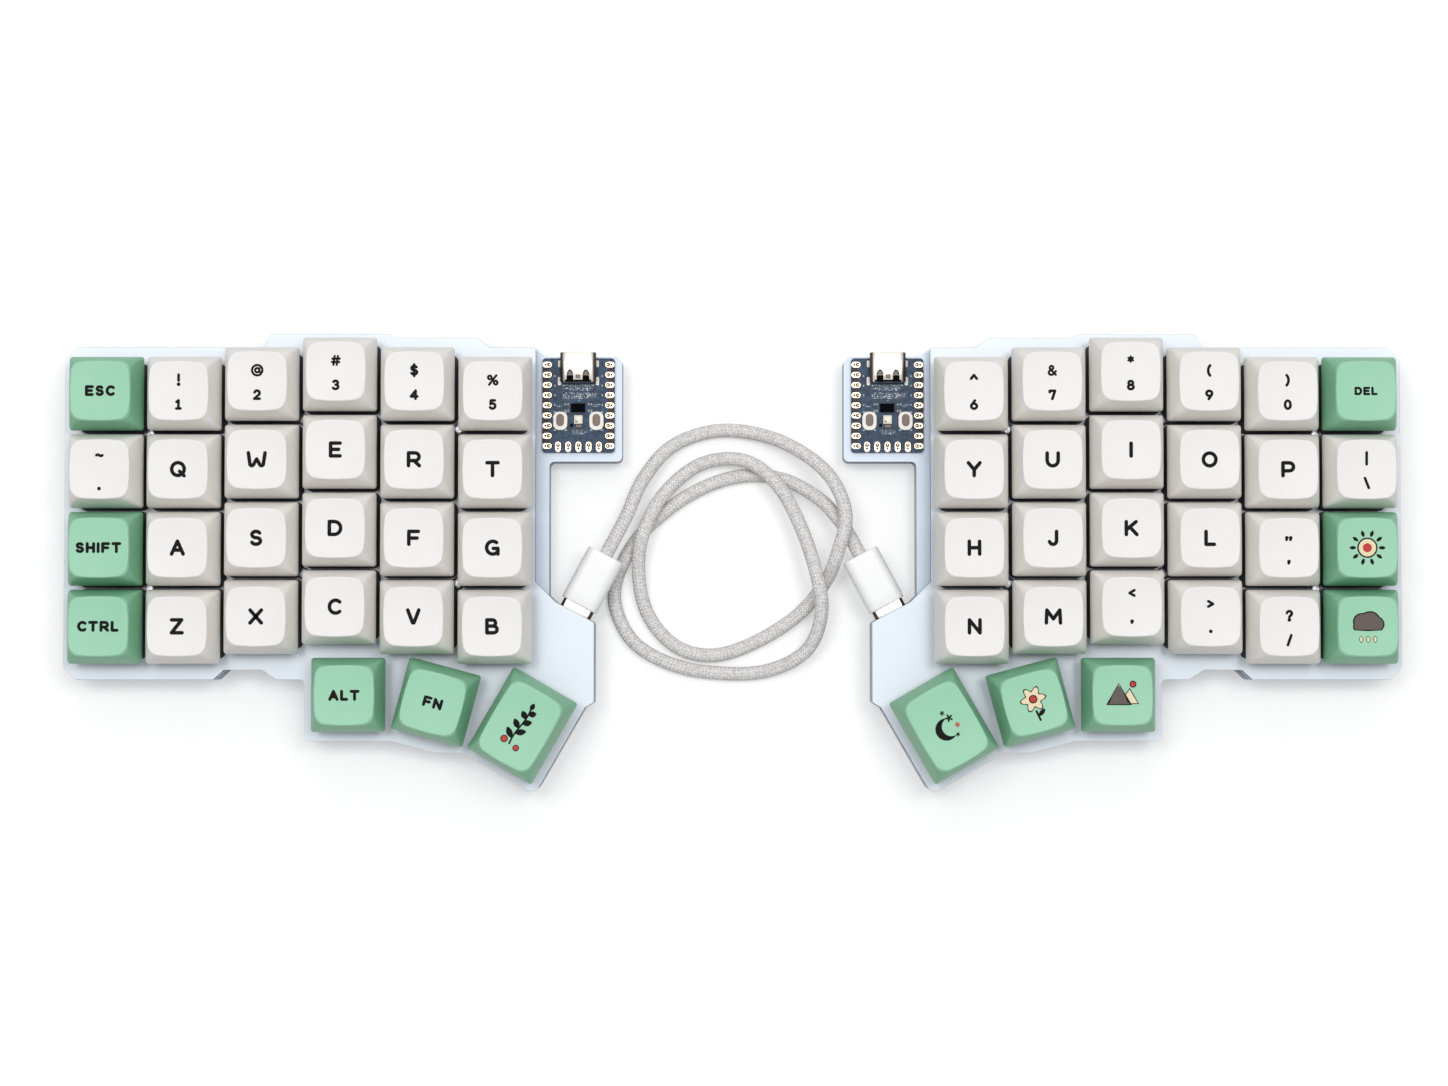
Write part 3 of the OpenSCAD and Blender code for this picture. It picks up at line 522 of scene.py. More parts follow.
letterO = hoop(0.49, 0.5, 0.49, 0.5)
letterS = bow(0.35, 0.755, 0.32, 0.245, 30, 270) + bow(0.35, 0.255, 0.35, 0.255, 90, -155)
strokes = {
    "A": bar((0, 0), (0.45, 1), (0.9, 0)) + bar((0.16, 0.31), (0.74, 0.31)),
    "B": bar((0, 0), (0, 1), (0.42, 1)) + bow(0.42, 0.76, 0.25, 0.24, 90, -90) + bar((0.42, 0.52), (0, 0.52))
    + bar((0.42, 0.52), (0.5, 0.52)) + bow(0.5, 0.26, 0.29, 0.26, 90, -90) + bar((0.5, 0), (0, 0)),
    "C": bow(0.5, 0.5, 0.48, 0.5, 48, 312),
    "D": bar((0.4, 0), (0, 0), (0, 1), (0.4, 1)) + bow(0.4, 0.5, 0.48, 0.5, 90, -90),
    "E": bar((0.74, 0), (0, 0), (0, 1), (0.74, 1)) + bar((0, 0.51), (0.62, 0.51)),
    "F": bar((0, 0), (0, 1), (0.74, 1)) + bar((0, 0.48), (0.64, 0.48)),
    "G": bow(0.5, 0.5, 0.48, 0.5, 52, 325) + bar((0.9, 0.0), (0.9, 0.44), (0.54, 0.44)),
    "H": bar((0, 0), (0, 1)) + bar((0.8, 0), (0.8, 1)) + bar((0, 0.5), (0.8, 0.5)),
    "I": bar((0, 0), (0, 1)),
    "J": bar((0.55, 1), (0.55, 0.3)) + bow(0.27, 0.29, 0.28, 0.29, 0, -165),
    "K": bar((0, 0), (0, 1)) + bar((0.76, 1), (0, 0.36)) + bar((0.28, 0.58), (0.82, 0)),
    "L": bar((0, 1), (0, 0), (0.64, 0)),
    "M": bar((0, 0), (0.05, 1), (0.55, 0.32), (1.05, 1), (1.1, 0)),
    "N": bar((0, 0), (0, 1), (0.82, 0), (0.82, 1)),
    "O": letterO,
    "P": bar((0, 0), (0, 1), (0.5, 1)) + bow(0.5, 0.69, 0.32, 0.31, 90, -90) + bar((0.5, 0.38), (0, 0.38)),
    "Q": letterO + bar((0.62, 0.32), (0.97, -0.02)),
    "R": bar((0, 0), (0, 1), (0.5, 1)) + bow(0.5, 0.7, 0.32, 0.3, 90, -90) + bar((0.5, 0.4), (0, 0.4))
    + bar((0.42, 0.4), (0.84, 0)),
    "S": letterS,
    "T": bar((0, 1), (0.86, 1)) + bar((0.43, 1), (0.43, 0)),
    "U": bar((0, 1), (0, 0.43)) + bow(0.43, 0.43, 0.43, 0.43, 180, 360) + bar((0.86, 0.43), (0.86, 1)),
    "V": bar((0, 1), (0.36, 0.06)) + bow(0.43, 0.07, 0.07, 0.07, 190, 350) + bar((0.5, 0.06), (0.86, 1)),
    "W": bar((0, 1), (0.12, 0.2)) + bow(0.27, 0.16, 0.15, 0.16, 165, 330)
    + bar((0.4, 0.08), (0.65, 0.52), (0.9, 0.08)) + bow(1.03, 0.16, 0.15, 0.16, 210, 375)
    + bar((1.18, 0.2), (1.3, 1)),
    "X": bar((0, 0), (0.88, 1)) + bar((0, 1), (0.88, 0)),
    "Y": bar((0, 1), (0.45, 0.46), (0.9, 1)) + bar((0.45, 0.46), (0.45, 0)),
    "Z": bar((0, 1), (0.78, 1), (0, 0), (0.82, 0)),
    "0": hoop(0.33, 0.5, 0.33, 0.5),
    "1": bar((0.02, 0.8), (0.26, 1), (0.26, 0)) + bar((0, 0), (0.5, 0)),
    "2": bow(0.32, 0.69, 0.31, 0.31, 165, -30) + bar((0.59, 0.54), (0, 0), (0.66, 0)),
    "3": bow(0.3, 0.755, 0.28, 0.245, 150, -80) + bow(0.3, 0.265, 0.33, 0.265, 85, -150),
    "4": bar((0.56, 0), (0.56, 1), (0, 0.28), (0.78, 0.28)),
    "5": bar((0.58, 1), (0.1, 1), (0.06, 0.56)) + bow(0.3, 0.32, 0.33, 0.32, 130, -150),
    "6": bar((0.45, 1), (0.06, 0.46)) + hoop(0.34, 0.31, 0.34, 0.31),
    "7": bar((0, 0.82), (0, 1), (0.64, 1), (0.3, 0)),
    "8": hoop(0.33, 0.765, 0.27, 0.235) + hoop(0.33, 0.265, 0.33, 0.265),
    "9": hoop(0.34, 0.69, 0.34, 0.31) + bar((0.64, 0.55), (0.27, 0)),
    "!": bar((0, 0.42), (0, 1.15)) + dot(0, -0.02),
    "@": bow(0.55, 0.5, 0.6, 0.6, 318, 15) + hoop(0.55, 0.5, 0.24, 0.25) + bar((0.79, 0.72), (0.79, 0.38))
    + bow(0.97, 0.42, 0.18, 0.17, 180, 340) + bar((1.13, 0.36), (1.13, 0.62)),
    "#": bar((0.2, 0), (0.34, 1)) + bar((0.58, 0), (0.72, 1)) + bar((0.02, 0.32), (0.86, 0.32))
    + bar((0.08, 0.7), (0.92, 0.7)),
    "$": letterS + bar((0.35, 1.2), (0.35, -0.2)),
    "%": bar((0.12, -0.04), (0.95, 1.04)) + hoop(0.2, 0.8, 0.2, 0.21) + hoop(0.88, 0.2, 0.2, 0.21),
    "^": bar((0, 0.68), (0.35, 1.12), (0.7, 0.68)),
    "&": bar((0.85, 0), (0.16, 0.72)) + bow(0.36, 0.82, 0.2, 0.2, 200, -30) + bar((0.53, 0.7), (0.12, 0.44))
    + bow(0.34, 0.24, 0.3, 0.25, 140, 300) + bar((0.5, 0.03), (0.86, 0.42)),
    "*": rayStar(0.3, 0.68, 0.3, 6, 90),
    "(": bow(0.62, 0.5, 0.55, 0.75, 125, 235),
    ")": bow(-0.3, 0.5, 0.55, 0.75, 55, -55),
    "~": bow(0.19, 0.84, 0.19, 0.1, 165, 20) + bow(0.56, 0.9, 0.19, 0.1, 200, 345),
    ".": dot(0, -0.2),
    ":": dot(0, 0.38),
    ",": dot(0.04, 0.42) + bar((0.06, 0.4), (0.0, 0.24)),
    "'": dot(0.04, 0.5) + bar((0.07, 0.48), (0.0, 0.28)),
    "\"": dot(0.04, 0.4) + bar((0.07, 0.4), (0.0, 0.16)) + dot(0.52, 0.4) + bar((0.55, 0.4), (0.48, 0.16)),
    "<": bar((0.58, 1.2), (0, 0.86), (0.58, 0.54)),
    ">": bar((0, 1.06), (0.58, 0.72), (0, 0.4)),
    "?": bow(0.32, 0.76, 0.3, 0.28, 170, -60) + bar((0.46, 0.52), (0.32, 0.3)) + dot(0.32, -0.02),
    "/": bar((0, -0.1), (0.44, 1.1)),
    "\\": bar((0, 1.1), (0.44, -0.1)),
    "|": bar((0, -0.2), (0, 1.25)),
}


def onDish(points, faces, lift=0.0):
    # flat ink laid on the bowl, a hair above it
    height = dish(points[:, 0], points[:, 1]) + legend["lift"] + lift
    return np.column_stack([points, height]), [faces]


def ribbon(curve, width):
    # a stroke of even width along a curve
    curve = np.asarray(curve, float)
    pace = np.gradient(curve, axis=0)
    normal = np.stack([-pace[:, 1], pace[:, 0]], -1) / np.linalg.norm(pace, axis=1)[:, None] * width / 2
    n = len(curve)
    row = np.arange(n - 1)
    faces = np.stack([row, row + 1, row + 1 + n, row + n], -1)
    return onDish(np.vstack([curve - normal, curve + normal]), faces)


def written(text, kind, middle=0.0):
    # letters side by side; the whole is centred, and each stroke ends in a disc
    height, weight = legend[kind]
    unit = height / (1 + weight)
    width = weight * unit
    found, pen = [], 0.0
    for letter in text:
        parts = [part + (pen, 0) for part in strokes[letter]]
        pen = max(part[:, 0].max() for part in parts) + weight + legend["space"]
        found += parts
    every = np.concatenate(found)
    shift = np.array([-(every[:, 0].max() + every[:, 0].min()) / 2, -0.5])
    drawn = []
    for part in found:
        curve = (part + shift) * unit + (0, middle)
        drawn.append(ribbon(curve, width))
        drawn += [fan(polar(end, width / 2, 14)) for end in (curve[0], curve[-1])]
    return [(mark, black) for mark in drawn]


# little pictures: each shape is a fan about its own middle
def spokes(outline):
    # the outline with its middle point, and triangles from each side to that point
    points = np.vstack([outline, np.mean(outline, axis=0)])
    ring = np.arange(len(outline))
    return points, np.stack([ring, np.roll(ring, -1), np.full(len(ring), len(ring))], -1)


def fan(outline, lift=0.0):
    # a filled outline laid on the bowl
    return onDish(*spokes(outline), lift)


def polar(at, reach, count=48, turn=0):
    # an outline whose reach is a function of the angle
    angle = np.arange(count) * 2 * pi / count
    reach = reach(angle) if callable(reach) else np.full(count, reach)
    return np.asarray(at) + reach[:, None] * circle(angle + radians(turn))


def leaf(at, length, width, turn, count=15):
    # two arcs that meet in points, the width a sine of the way along
    share = np.linspace(0, 1, count)
    side = width / 2 * np.sin(pi * share) ** 0.8
    lower, upper = [np.stack([share * length, way * side], -1) for way in (-1, 1)]
    outline = np.concatenate([lower, upper[-2:0:-1]])
    c, s = cos(radians(turn)), sin(radians(turn))
    return np.asarray(at) + outline @ np.array([[c, s], [-s, c]])


def inked(outline, ink, rim=0.32):
    # a coloured shape over a black one that stands out all round it
    outline = np.asarray(outline, float)
    middle = outline.mean(axis=0)
    away = outline - middle
    wide = middle + away * (1 + rim / np.linalg.norm(away, axis=1)[:, None])
    return [(fan(wide), black), (fan(outline, legend["over"]), ink)]


def sprig():
    # leaves left and right of a stem that swings as a sine, and two berries
    y = np.linspace(-5, 5, 24)
    found = [(ribbon(np.stack([0.35 * np.sin(y * 0.5), y], -1), 0.42), black)]
    for i, y in enumerate((-3.4, -2.0, -0.6, 0.8, 2.2, 3.4)):
        outline = leaf((0.35 * sin(y * 0.5), y), 3.0 - 0.2 * i, 1.5, 38 if i % 2 else 142)
        found.append((fan(outline, legend["over"]), black))
    found.append((fan(leaf((0.35 * sin(2.5), 4.6), 1.9, 1.2, 88), legend["over"]), black))
    for berry, size in (((-1.9, -4.4), 0.72), ((1.7, -5.0), 0.6)):
        found += inked(polar(berry, size, 28), red, 0.2)
    return found


def blossom():
    # petals whose reach swings six times round, over a stalk with a leaf
    heart = (0, 0.9)
    stalk = np.stack([np.linspace(0, 0.5, 12), np.linspace(-1.9, -4.6, 12)], -1)
    found = [(ribbon(stalk, 0.5), black), (fan(leaf((0.25, -3.4), 2.4, 1.1, 35), legend["over"]), black)]
    found += inked(polar(heart, lambda a: 2.35 + 0.62 * np.cos(6 * a), 72), cream)
    return found + [(fan(polar(heart, 1.05, 28), 0.04), black), (fan(polar(heart, 0.78, 28), 0.06), red)]


def sunrise():
    # ten pointed rays round a ringed disc
    angles = np.arange(10) * 2 * pi / 10
    rays = [(fan(leaf((2.7 * cos(a), 2.7 * sin(a)), 1.7, 0.85, np.degrees(a))), black) for a in angles]
    return rays + inked(polar((0, 0), 2.1, 44), cream, 0.36) + [(fan(polar((0, 0), 1.1, 32), 0.04), red)]


def cloud():
    # a flat foot, and above it lobes whose reach swings with the angle, over three drops
    def reach(a):
        foot = 1.45 / np.maximum(np.abs(np.sin(a)), 0.42)
        lobes = 2.75 + 0.42 * np.abs(np.cos(2.5 * a)) + 0.5 * np.cos(a) ** 2
        return np.where(np.sin(a) < -0.25, foot, lobes)

    drops = [part for x in (-1.7, 0, 1.7) for part in inked(leaf((x, -3.9), 1.5, 0.7, 90), cream, 0.16)]
    return inked(polar((0, -0.1), reach, 80) * (1, 0.92) + (0, 0.6), grey) + drops


def nightSky():
    # a crescent between two arcs, and stars whose reach swings five times round
    angle = np.linspace(radians(60), radians(300), 30)
    points = np.vstack([2.7 * circle(angle), (1.35, 0) + 2.3 * circle(angle)]) + (-0.4, -0.6)
    row = np.arange(29)
    found = [(onDish(points, np.stack([row + 1, row, row + 30, row + 31], -1)), black)]
    stars = (
        ((1.5, 1.5), 1.05, black), ((2.5, -0.9), 0.75, red), ((0.6, 3.3), 0.7, black),
        ((1.4, -3.0), 0.6, black))
    for at, size, ink in stars:
        found.append((fan(polar(at, lambda a: size * (0.68 + 0.32 * np.cos(5 * a)), 40, 18)), ink))
    return found


def peaks():
    # two mountains, snow on the near one, and a small sun
    far = np.array([(-0.6, -1.9), (3.6, -1.9), (1.7, 1.4)])
    near = np.array([(-3.7, -2.1), (2.0, -2.1), (-0.9, 2.7)])
    snow = np.array([(-1.75, 1.3), (-1.15, 0.75), (-0.75, 1.25), (-0.3, 0.7), (0.0, 1.3), (-0.9, 2.6)])
    layers = ((near * 1.1 + (0.06, -0.02), black), (near, grey), (snow, cream))
    found = inked(far, cream, 0.4)
    found += [(fan(part, 0.05 + 0.01 * i), ink) for i, (part, ink) in enumerate(layers)]
    sun = (2.5, 2.7)
    return found + [(fan(polar(sun, 0.85, 28)), black), (fan(polar(sun, 0.6, 28), legend["over"]), red)]


pictures = {
    "left_thumb": sprig, "right_thumb_middle": blossom, "outer_upper": sunrise, "outer_lower": cloud,
    "right_thumb_inner": nightSky, "right_thumb_outer": peaks}
greenKeys = {*words, *pictures}
turns = {"fn": -15, "left_thumb": -30, "right_thumb_middle": 15, "right_thumb_inner": 30}
longKeys = ("left_thumb", "right_thumb_inner")


def printedOn(name):
    # what a cap carries: a word, two marks, a picture or a letter
    if name in words:
        return written(words[name], "small" if name == "del" else "word")
    if name in pairs:
        upper, lower = pairs[name]
        kind = "fine" if upper in legend["fineMarks"] else "mark"
        return written(upper, kind, legend["upper"]) + written(lower, "mark", legend["lower"])
    return pictures[name]() if name in pictures else written(name.upper(), "letter")


keyNames = [n[4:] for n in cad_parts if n.startswith("key_")]
square, longer, stem, sliders = capBody(1), capBody(1.25), stemPost(), sliderParts()
sideSlot, topSlot, sliderSlot, insideShadeSlot, inkSlot = range(5)
keyPlaces = {}
for name in keyNames:
    low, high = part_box("key_" + name)
    spot = ((low.x + high.x) / 2 / mm, (low.y + high.y) / 2 / mm, 0)
    turn = turns.get(name, 0)
    keyPlaces[name] = (spot, turn)
    shape = Shape()
    body = longer if name in longKeys else square
    shape.add(placed(body, spot, turn), (insideShadeSlot, sideSlot, topSlot, insideShadeSlot, topSlot))
    shape.add(placed(stem, spot, turn), insideShadeSlot)
    for part in sliders:
        shape.add(placed(part, spot, turn), sliderSlot)
    for mark, ink in printedOn(name):
        shape.add(placed(mark, spot, turn), inkSlot + ink)
    outside = (greenSideShade, greenCap) if name in greenKeys else (creamSide, creamCap)
    piece = shape.make("cap_" + name, [*outside, sliderPlastic, insideShade, *capInks], "key_" + name, 38)
    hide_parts("key_" + name)
    "cap_green" if name in greenKeys else "cap_cream"
print("keycaps made:", len(keyNames))


# switch housings: a square body, a flange on the plate and a leaning top; the slider has room under a lip
housing = {
    "body": 13.9, "flange": 15.6, "topX": 11.4, "topY": 10.4, "shaftX": 7.6, "shaftY": 6.4,
    "roomX": 9.4, "roomY": 8.2, "lip": 1.5, "floor": 7.5, "clipX": 6.72, "clipY": 3.2, "pinShow": 1.5}
switchPins = ((0, 0, 1.95, 0), (-3.81, 2.54, 0.7, 1), (2.54, 5.08, 0.7, 1))  # place, radius and finish
housingDark = mottled(
    "housingDark", (40, 41, 45), (52, 53, 58), (3, 2), rough=(0.35, 0.15, 0.5, 2), grain=(0.01, 0.15, 2),
    Specular_IOR_Level=0.45)
pinCopper = mottled(
    "pinCopper", (214, 190, 150), (196, 166, 120), (0.5, 2), rough=(0.25, 0.15, 0.4, 2), Metallic=1.0)


def housingBody():
    # each ring is half its width, half its depth, its corner and its height
    b, f = housing["body"] / 2, housing["flange"] / 2
    tx, ty, sx, sy, rx, ry = [housing[k] / 2 for k in ("topX", "topY", "shaftX", "shaftY", "roomX", "roomY")]
    foot, p, h = stack["boardTop"], stack["plateTop"], stack["housingTop"]
    lip = h - housing["lip"]
    rings = np.array([
        (b - 0.3, b - 0.3, 0.5, foot + 0.02), (b, b, 0.6, foot + 0.4), (b, b, 0.6, p + 0.02),
        (f, f, 0.9, p + 0.02), (f, f, 0.9, p + 0.75), (f - 0.12, f - 0.12, 0.85, p + 0.95),
        (b + 0.05, b + 0.05, 0.9, p + 1.0), (b - 0.2, b - 0.25, 1.0, p + 1.6),
        (tx + 0.5, ty + 0.7, 1.3, h - 1.2), (tx + 0.15, ty + 0.18, 1.4, h - 0.25),
        (tx - 0.12, ty - 0.12, 1.4, h - 0.03), (tx - 0.4, ty - 0.4, 1.3, h),
        (sx + 0.15, sy + 0.15, 0.35, h), (sx, sy, 0.3, h - 0.15), (sx, sy, 0.3, lip),
        (rx, ry, 0.3, lip), (rx, ry, 0.3, h - housing["floor"])])
    return loft(lifted(roundedRing(*rings.T[:3], 0, 4, 2), rings[:, 3]))


def switchPin(radius):
    # a round pin through the board with a bevel at its lower end
    low, high = stack["board"] - housing["pinShow"], stack["boardTop"] + 0.3
    return lathe([(radius - 0.15, low), (radius, low + 0.2), (radius, high)], 14)


clip = block(0.5, 2.0, stack["plateTop"] + 0.95, stack["plateTop"] + 2.7, 0.1, 0.06)
clipSpots = [(x * housing["clipX"], y * housing["clipY"], 0) for x in (-1, 1) for y in (-1, 1)]
switchParts = [(housingBody(), 0)] + [(placed(clip, at), 0) for at in clipSpots]
switchParts += [(placed(switchPin(radius), (x, y, 0)), slot) for x, y, radius, slot in switchPins]
housings = Shape()
for spot, turn in keyPlaces.values():
    flip = spot[0] > 0
    at, angle = ((-spot[0], spot[1], 0), -turn) if flip else (spot, turn)
    for part, slot in switchParts:
        housings.add(placed(part, at, angle, flip), slot)
housingPiece = housings.make("switchHousings", [housingDark, pinCopper], crease=40)
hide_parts("switch_housings")
print("housings made")


# plates and boards: the outlines of the solids' flat faces, filled and given a soft edge
def flatLoops(node, height):
    # edges that only one flat triangle of that height uses, chained into closed loops
    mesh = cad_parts[node].data
    points, corner = np.empty(len(mesh.vertices) * 3), np.empty(len(mesh.loops), int)
    mesh.vertices.foreach_get("co", points)
    mesh.loops.foreach_get("vertex_index", corner)
    points = np.round(points.reshape(-1, 3) / mm, 3)
    spots, same = np.unique(points, axis=0, return_inverse=True)
    triangles = same.ravel()[corner].reshape(-1, 3)
    triangles = triangles[(np.abs(spots[triangles][:, :, 2] - height) < 0.004).all(axis=1)]
    edges = np.concatenate([triangles[:, [0, 1]], triangles[:, [1, 2]], triangles[:, [2, 0]]])
    known = set(map(tuple, edges.tolist()))
    ahead = {a: b for a, b in edges.tolist() if (b, a) not in known}
    loops = []
    while ahead:
        start, spot = ahead.popitem()
        chain = [start]
        while spot != start:
            chain.append(spot)
            spot = ahead.pop(spot)
        loops.append(spots[chain][:, :2])
    return loops


def sheetMesh(name, loops, low, high, soft):
    # a flat curve filled between its loops, as thick as the sheet and rounded at its edges
    curve = bpy.data.curves.new(name, "CURVE")
    curve.dimensions, curve.fill_mode = "2D", "BOTH"
    curve.extrude, curve.offset = (high - low) / 2 - soft, -soft
    curve.bevel_depth, curve.bevel_resolution = soft, 1
    for loop in loops:
        spline = curve.splines.new("POLY")
        spline.points.add(len(loop) - 1)
        flat = np.column_stack([loop, np.zeros(len(loop)), np.ones(len(loop))])
        spline.points.foreach_set("co", flat.ravel())
        spline.use_cyclic_u = True
    holder = bpy.data.objects.new(name, curve)
    scene.collection.objects.link(holder)
    mesh = bpy.data.meshes.new_from_object(holder)
    bpy.data.objects.remove(holder)
    bpy.data.curves.remove(curve)
    mesh.transform(Matrix.Scale(mm, 4) @ Matrix.Translation((0, 0, (low + high) / 2)))
    mesh.name = name
    return mesh


def sheetPiece(name, loops, low, high, face, edge, soft=0.12):
    # the flat faces take the lacquer and the cut edge the bare board's finish, whose dark tone is partly
    # painted shade
    mesh = sheetMesh(name, loops, low, high, soft)
    normals = np.empty(len(mesh.polygons) * 3)
    mesh.polygons.foreach_get("normal", normals)
    mesh.polygons.foreach_set("material_index", (np.abs(normals.reshape(-1, 3)[:, 2]) < 0.6).astype(int))
    return settled(name, mesh, [face, edge], crease=50)


weave = {"thread": 0.55, "depth": 0.004, "strength": 0.6, "layer": 0.4}


def wave(along, length):
    # a sine that repeats after that many millimetres
    return (along * (2 * pi / (length * mm))).math("SINE")


def lacquer(name, light, dark, rough):
    # smooth lacquer over a fine glass weave that shows as a faint grid
    finish = Finish(name, Coat_Roughness=0.12)
    sideways = finish.node("SeparateXYZ", {}, {0: finish.here()})
    clouds = finish.noise(22, 3)
    finish.paint(light, dark, clouds)
    finish.set("Roughness", clouds * 0.1 + rough)
    finish.set("Coat Weight", clouds * 0.1 + 0.2)
    grid = wave(sideways, weave["thread"]) * wave(sideways.beside(1), weave["thread"])
    finish.bump(grid, weave["depth"], weave["strength"])
    return finish


iceLacquer = lacquer("iceLacquer", (234, 242, 250), (228, 238, 248), 0.46)
boardLacquer = lacquer("boardLacquer", (222, 233, 246), (214, 227, 243), 0.36)
# the cut edge: dark grey with faint stripes for the board's layers; the dark tone is partly painted shade
# along the edges
cutEdge = Finish("cutEdge", Roughness=0.7)
layers = wave(cutEdge.node("SeparateXYZ", {}, {0: cutEdge.here()}, 2), weave["layer"])
cutEdge.paint((46, 50, 58), (72, 78, 90), (layers + 1) * 0.5)
cutEdge.bump(cutEdge.noise(0.3, 3), 0.02)

sheets = {
    "switchPlates": ("plate", iceLacquer, "switch_plates", "switch_plate"),
    "mainBoards": ("board", boardLacquer, "circuit_boards", "circuit_board"),
    "basePlates": ("base", boardLacquer, "base_plates", "base_plate")}
for name, (level, face, node, slot) in sheets.items():
    low, high = stack[level], stack[level + "Top"]
    sheet = sheetPiece(name, flatLoops(node, high), low, high, face, cutEdge)
    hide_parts(node)
print("plates and boards made")


# painted shade: a thin dark sheet on the plate round each housing of the four rows, so that the gaps between
# the caps look dark
shadeSheet = {
    "thick": 0.35, "seam": 0.05, "end": 7.9, "hole": 15.7, "corner": 2.0, "holeCorner": 0.9, "lift": 0.01,
    "soft": 0.05, "beside": 0.4}
# the sheet's dark grey is painted shade, not a colour of the plate
shadeSheetFoam = mottled(
    "shadeSheetFoam", (66, 67, 71), (88, 89, 94), (0.25, 3), rough=(0.85, 0.1, 0.25, 3), grain=(0.05, 0.25, 3),
    Specular_IOR_Level=0.1)
thumbKeys = ("alt", "right_thumb_outer")
rowKeys = [spot for name, (spot, turn) in keyPlaces.items() if name not in thumbKeys and not turn]
middles = np.array(rowKeys)[:, :2]
shadeSheetLoops = []
for middle in middles:
    # a side reaches the seam where another key follows, and stays hidden under the cap elsewhere
    away = np.abs(middles - middle)
    reach = np.full((2, 2), shadeSheet["end"])
    for axis in (0, 1):
        for way in (0, 1):
            ahead = (middles - middle)[:, axis] * (2 * way - 1)
            inLine = away[:, 1 - axis] < cap["pitch"] * shadeSheet["beside"]
            if (inLine & (np.abs(ahead - cap["pitch"]) < 1)).any():
                reach[way, axis] = cap["pitch"] / 2 - shadeSheet["seam"]
    half, shift = reach.sum(axis=0) / 2, (reach[1] - reach[0]) / 2
    hole = shadeSheet["hole"] / 2
    shadeSheetLoops.append(roundedRing(*half, shadeSheet["corner"], 0, 4, 0)[0] + middle + shift)
    shadeSheetLoops.append(roundedRing(hole, hole, shadeSheet["holeCorner"], 0, 2, 0)[0] + middle)
low = stack["plateTop"] + shadeSheet["lift"]
sheetPiece("shadeSheetPads", shadeSheetLoops, low, low + shadeSheet["thick"], shadeSheetFoam, shadeSheetFoam, shadeSheet["soft"])
print("shading pads made:", len(middles))


# controllers: a dark board with gold pads, socket, chip, lamp and two buttons
controller = {"at": np.array([19.925, -1.925]), "width": 18, "length": 23.5, "thick": 1.2, "pitch": 2.54}
controllerLow = stack["boardTop"] + stack["fit"]
top = controllerLow + controller["thick"]
navyMask = Finish("navyMask", Specular_IOR_Level=0.2)
trace = navyMask.noise(0.9, 4)
navyMask.paint((28, 47, 68), (50, 75, 100), ((trace - 0.5) * 4 + 0.5).clamped())
navyMask.set("Roughness", navyMask.noise(2) * 0.1 + 0.35)
navyMask.bump(trace, 0.02)
padGold = mottled(
    "padGold", (250, 238, 220), (240, 216, 184), (0.5, 2), rough=(0.3, 0.2, 0.3, 2), Metallic=0.6)
socketSteel = mottled(
    "socketSteel", (184, 182, 173), (200, 198, 189), (0.8, 3), rough=(0.24, 0.12, 0.8, 3), Metallic=0.9)
# dark copper brown: the pads' rims, and the painted shade of their holes
holeBrown = mottled("holeBrown", (84, 44, 30), (54, 30, 22), **{**inkMatt, "Specular_IOR_Level": 0.05})
markWhite = mottled("markWhite", (182, 196, 208), (150, 166, 180), **inkMatt)
chipBlack = mottled("chipBlack", (9, 10, 14), (17, 18, 24), **deadMatt)
lampCream = mottled("lampCream", (240, 234, 220), (224, 214, 196), **inkMatt)
buttonGrey = mottled("buttonGrey", (140, 124, 116), (124, 110, 102), **inkMatt)
tongueBlack = mottled("tongueBlack", (10, 10, 12), (20, 20, 22), **deadMatt)
frameWhite = mottled("frameWhite", (250, 247, 242), (238, 234, 228), **inkMatt)
edgeDark = mottled("edgeDark", (46, 42, 42), (66, 60, 58), **inkMatt)
boardFinishes = [
    navyMask, padGold, holeBrown, markWhite, chipBlack, lampCream, buttonGrey, socketSteel, tongueBlack,
    shellSideShade, frameWhite, edgeDark]
boardLoops = flatLoops("circuit_boards", top)
controllerSheet = sheetPiece("controllerBoards", boardLoops, controllerLow, top, navyMask, navyMask, 0.06)


def flatFan(outline, height):
    # a flat shape: its outline drawn together at its middle
    points, faces = spokes(outline)
    return np.column_stack([points, np.full(len(points), height)]), [faces]


def capsule(halfX, halfY, radius, height, arc=5):
    # a flat pad with round corners
    return flatFan(roundedRing(halfX, halfY, radius, 0, arc, 0)[0], height)


socket = {
    "halfWidth": 4.47, "halfHeight": 1.6, "corner": 1.4, "length": 7.35, "room": 6.0, "side": 3.75,
    "out": 1.2, "tongueX": 3.35, "tongueY": 0.35, "tongueTip": -0.9, "tongueRoot": -6.8}


def socketTube():
    # an oval steel tube, closed behind, with its mouth rolled in; lofted from the back to the mouth
    back = -socket["length"]
    inset = np.array([0.25, 0.08, 0, 0, 0.06, 0.24, 0.3, 0.3])
    halfX, halfY = socket["halfWidth"] - inset, socket["halfHeight"] - inset
    flat = roundedRing(halfX, halfY, socket["corner"] - inset, 0, 6, 3)
    return loft(lifted(flat, [back, back + 0.05, back + 0.2, -0.1, 0, 0, -0.1, -socket["room"]]))


def socketTongue():
    # a thin tongue along the tube, its two ends drawn in a little
    inset = np.array([0.05, 0, 0, 0.05])
    flat = roundedRing(socket["tongueX"] - inset, socket["tongueY"] - inset, 0.15, 0, 2, 0)
    root, tip = socket["tongueRoot"], socket["tongueTip"]
    return loft(lifted(flat, [root, root + 0.1, tip - 0.1, tip]))


fittings = Shape()
slotOf = boardFinishes.index
steel = slotOf(socketSteel)


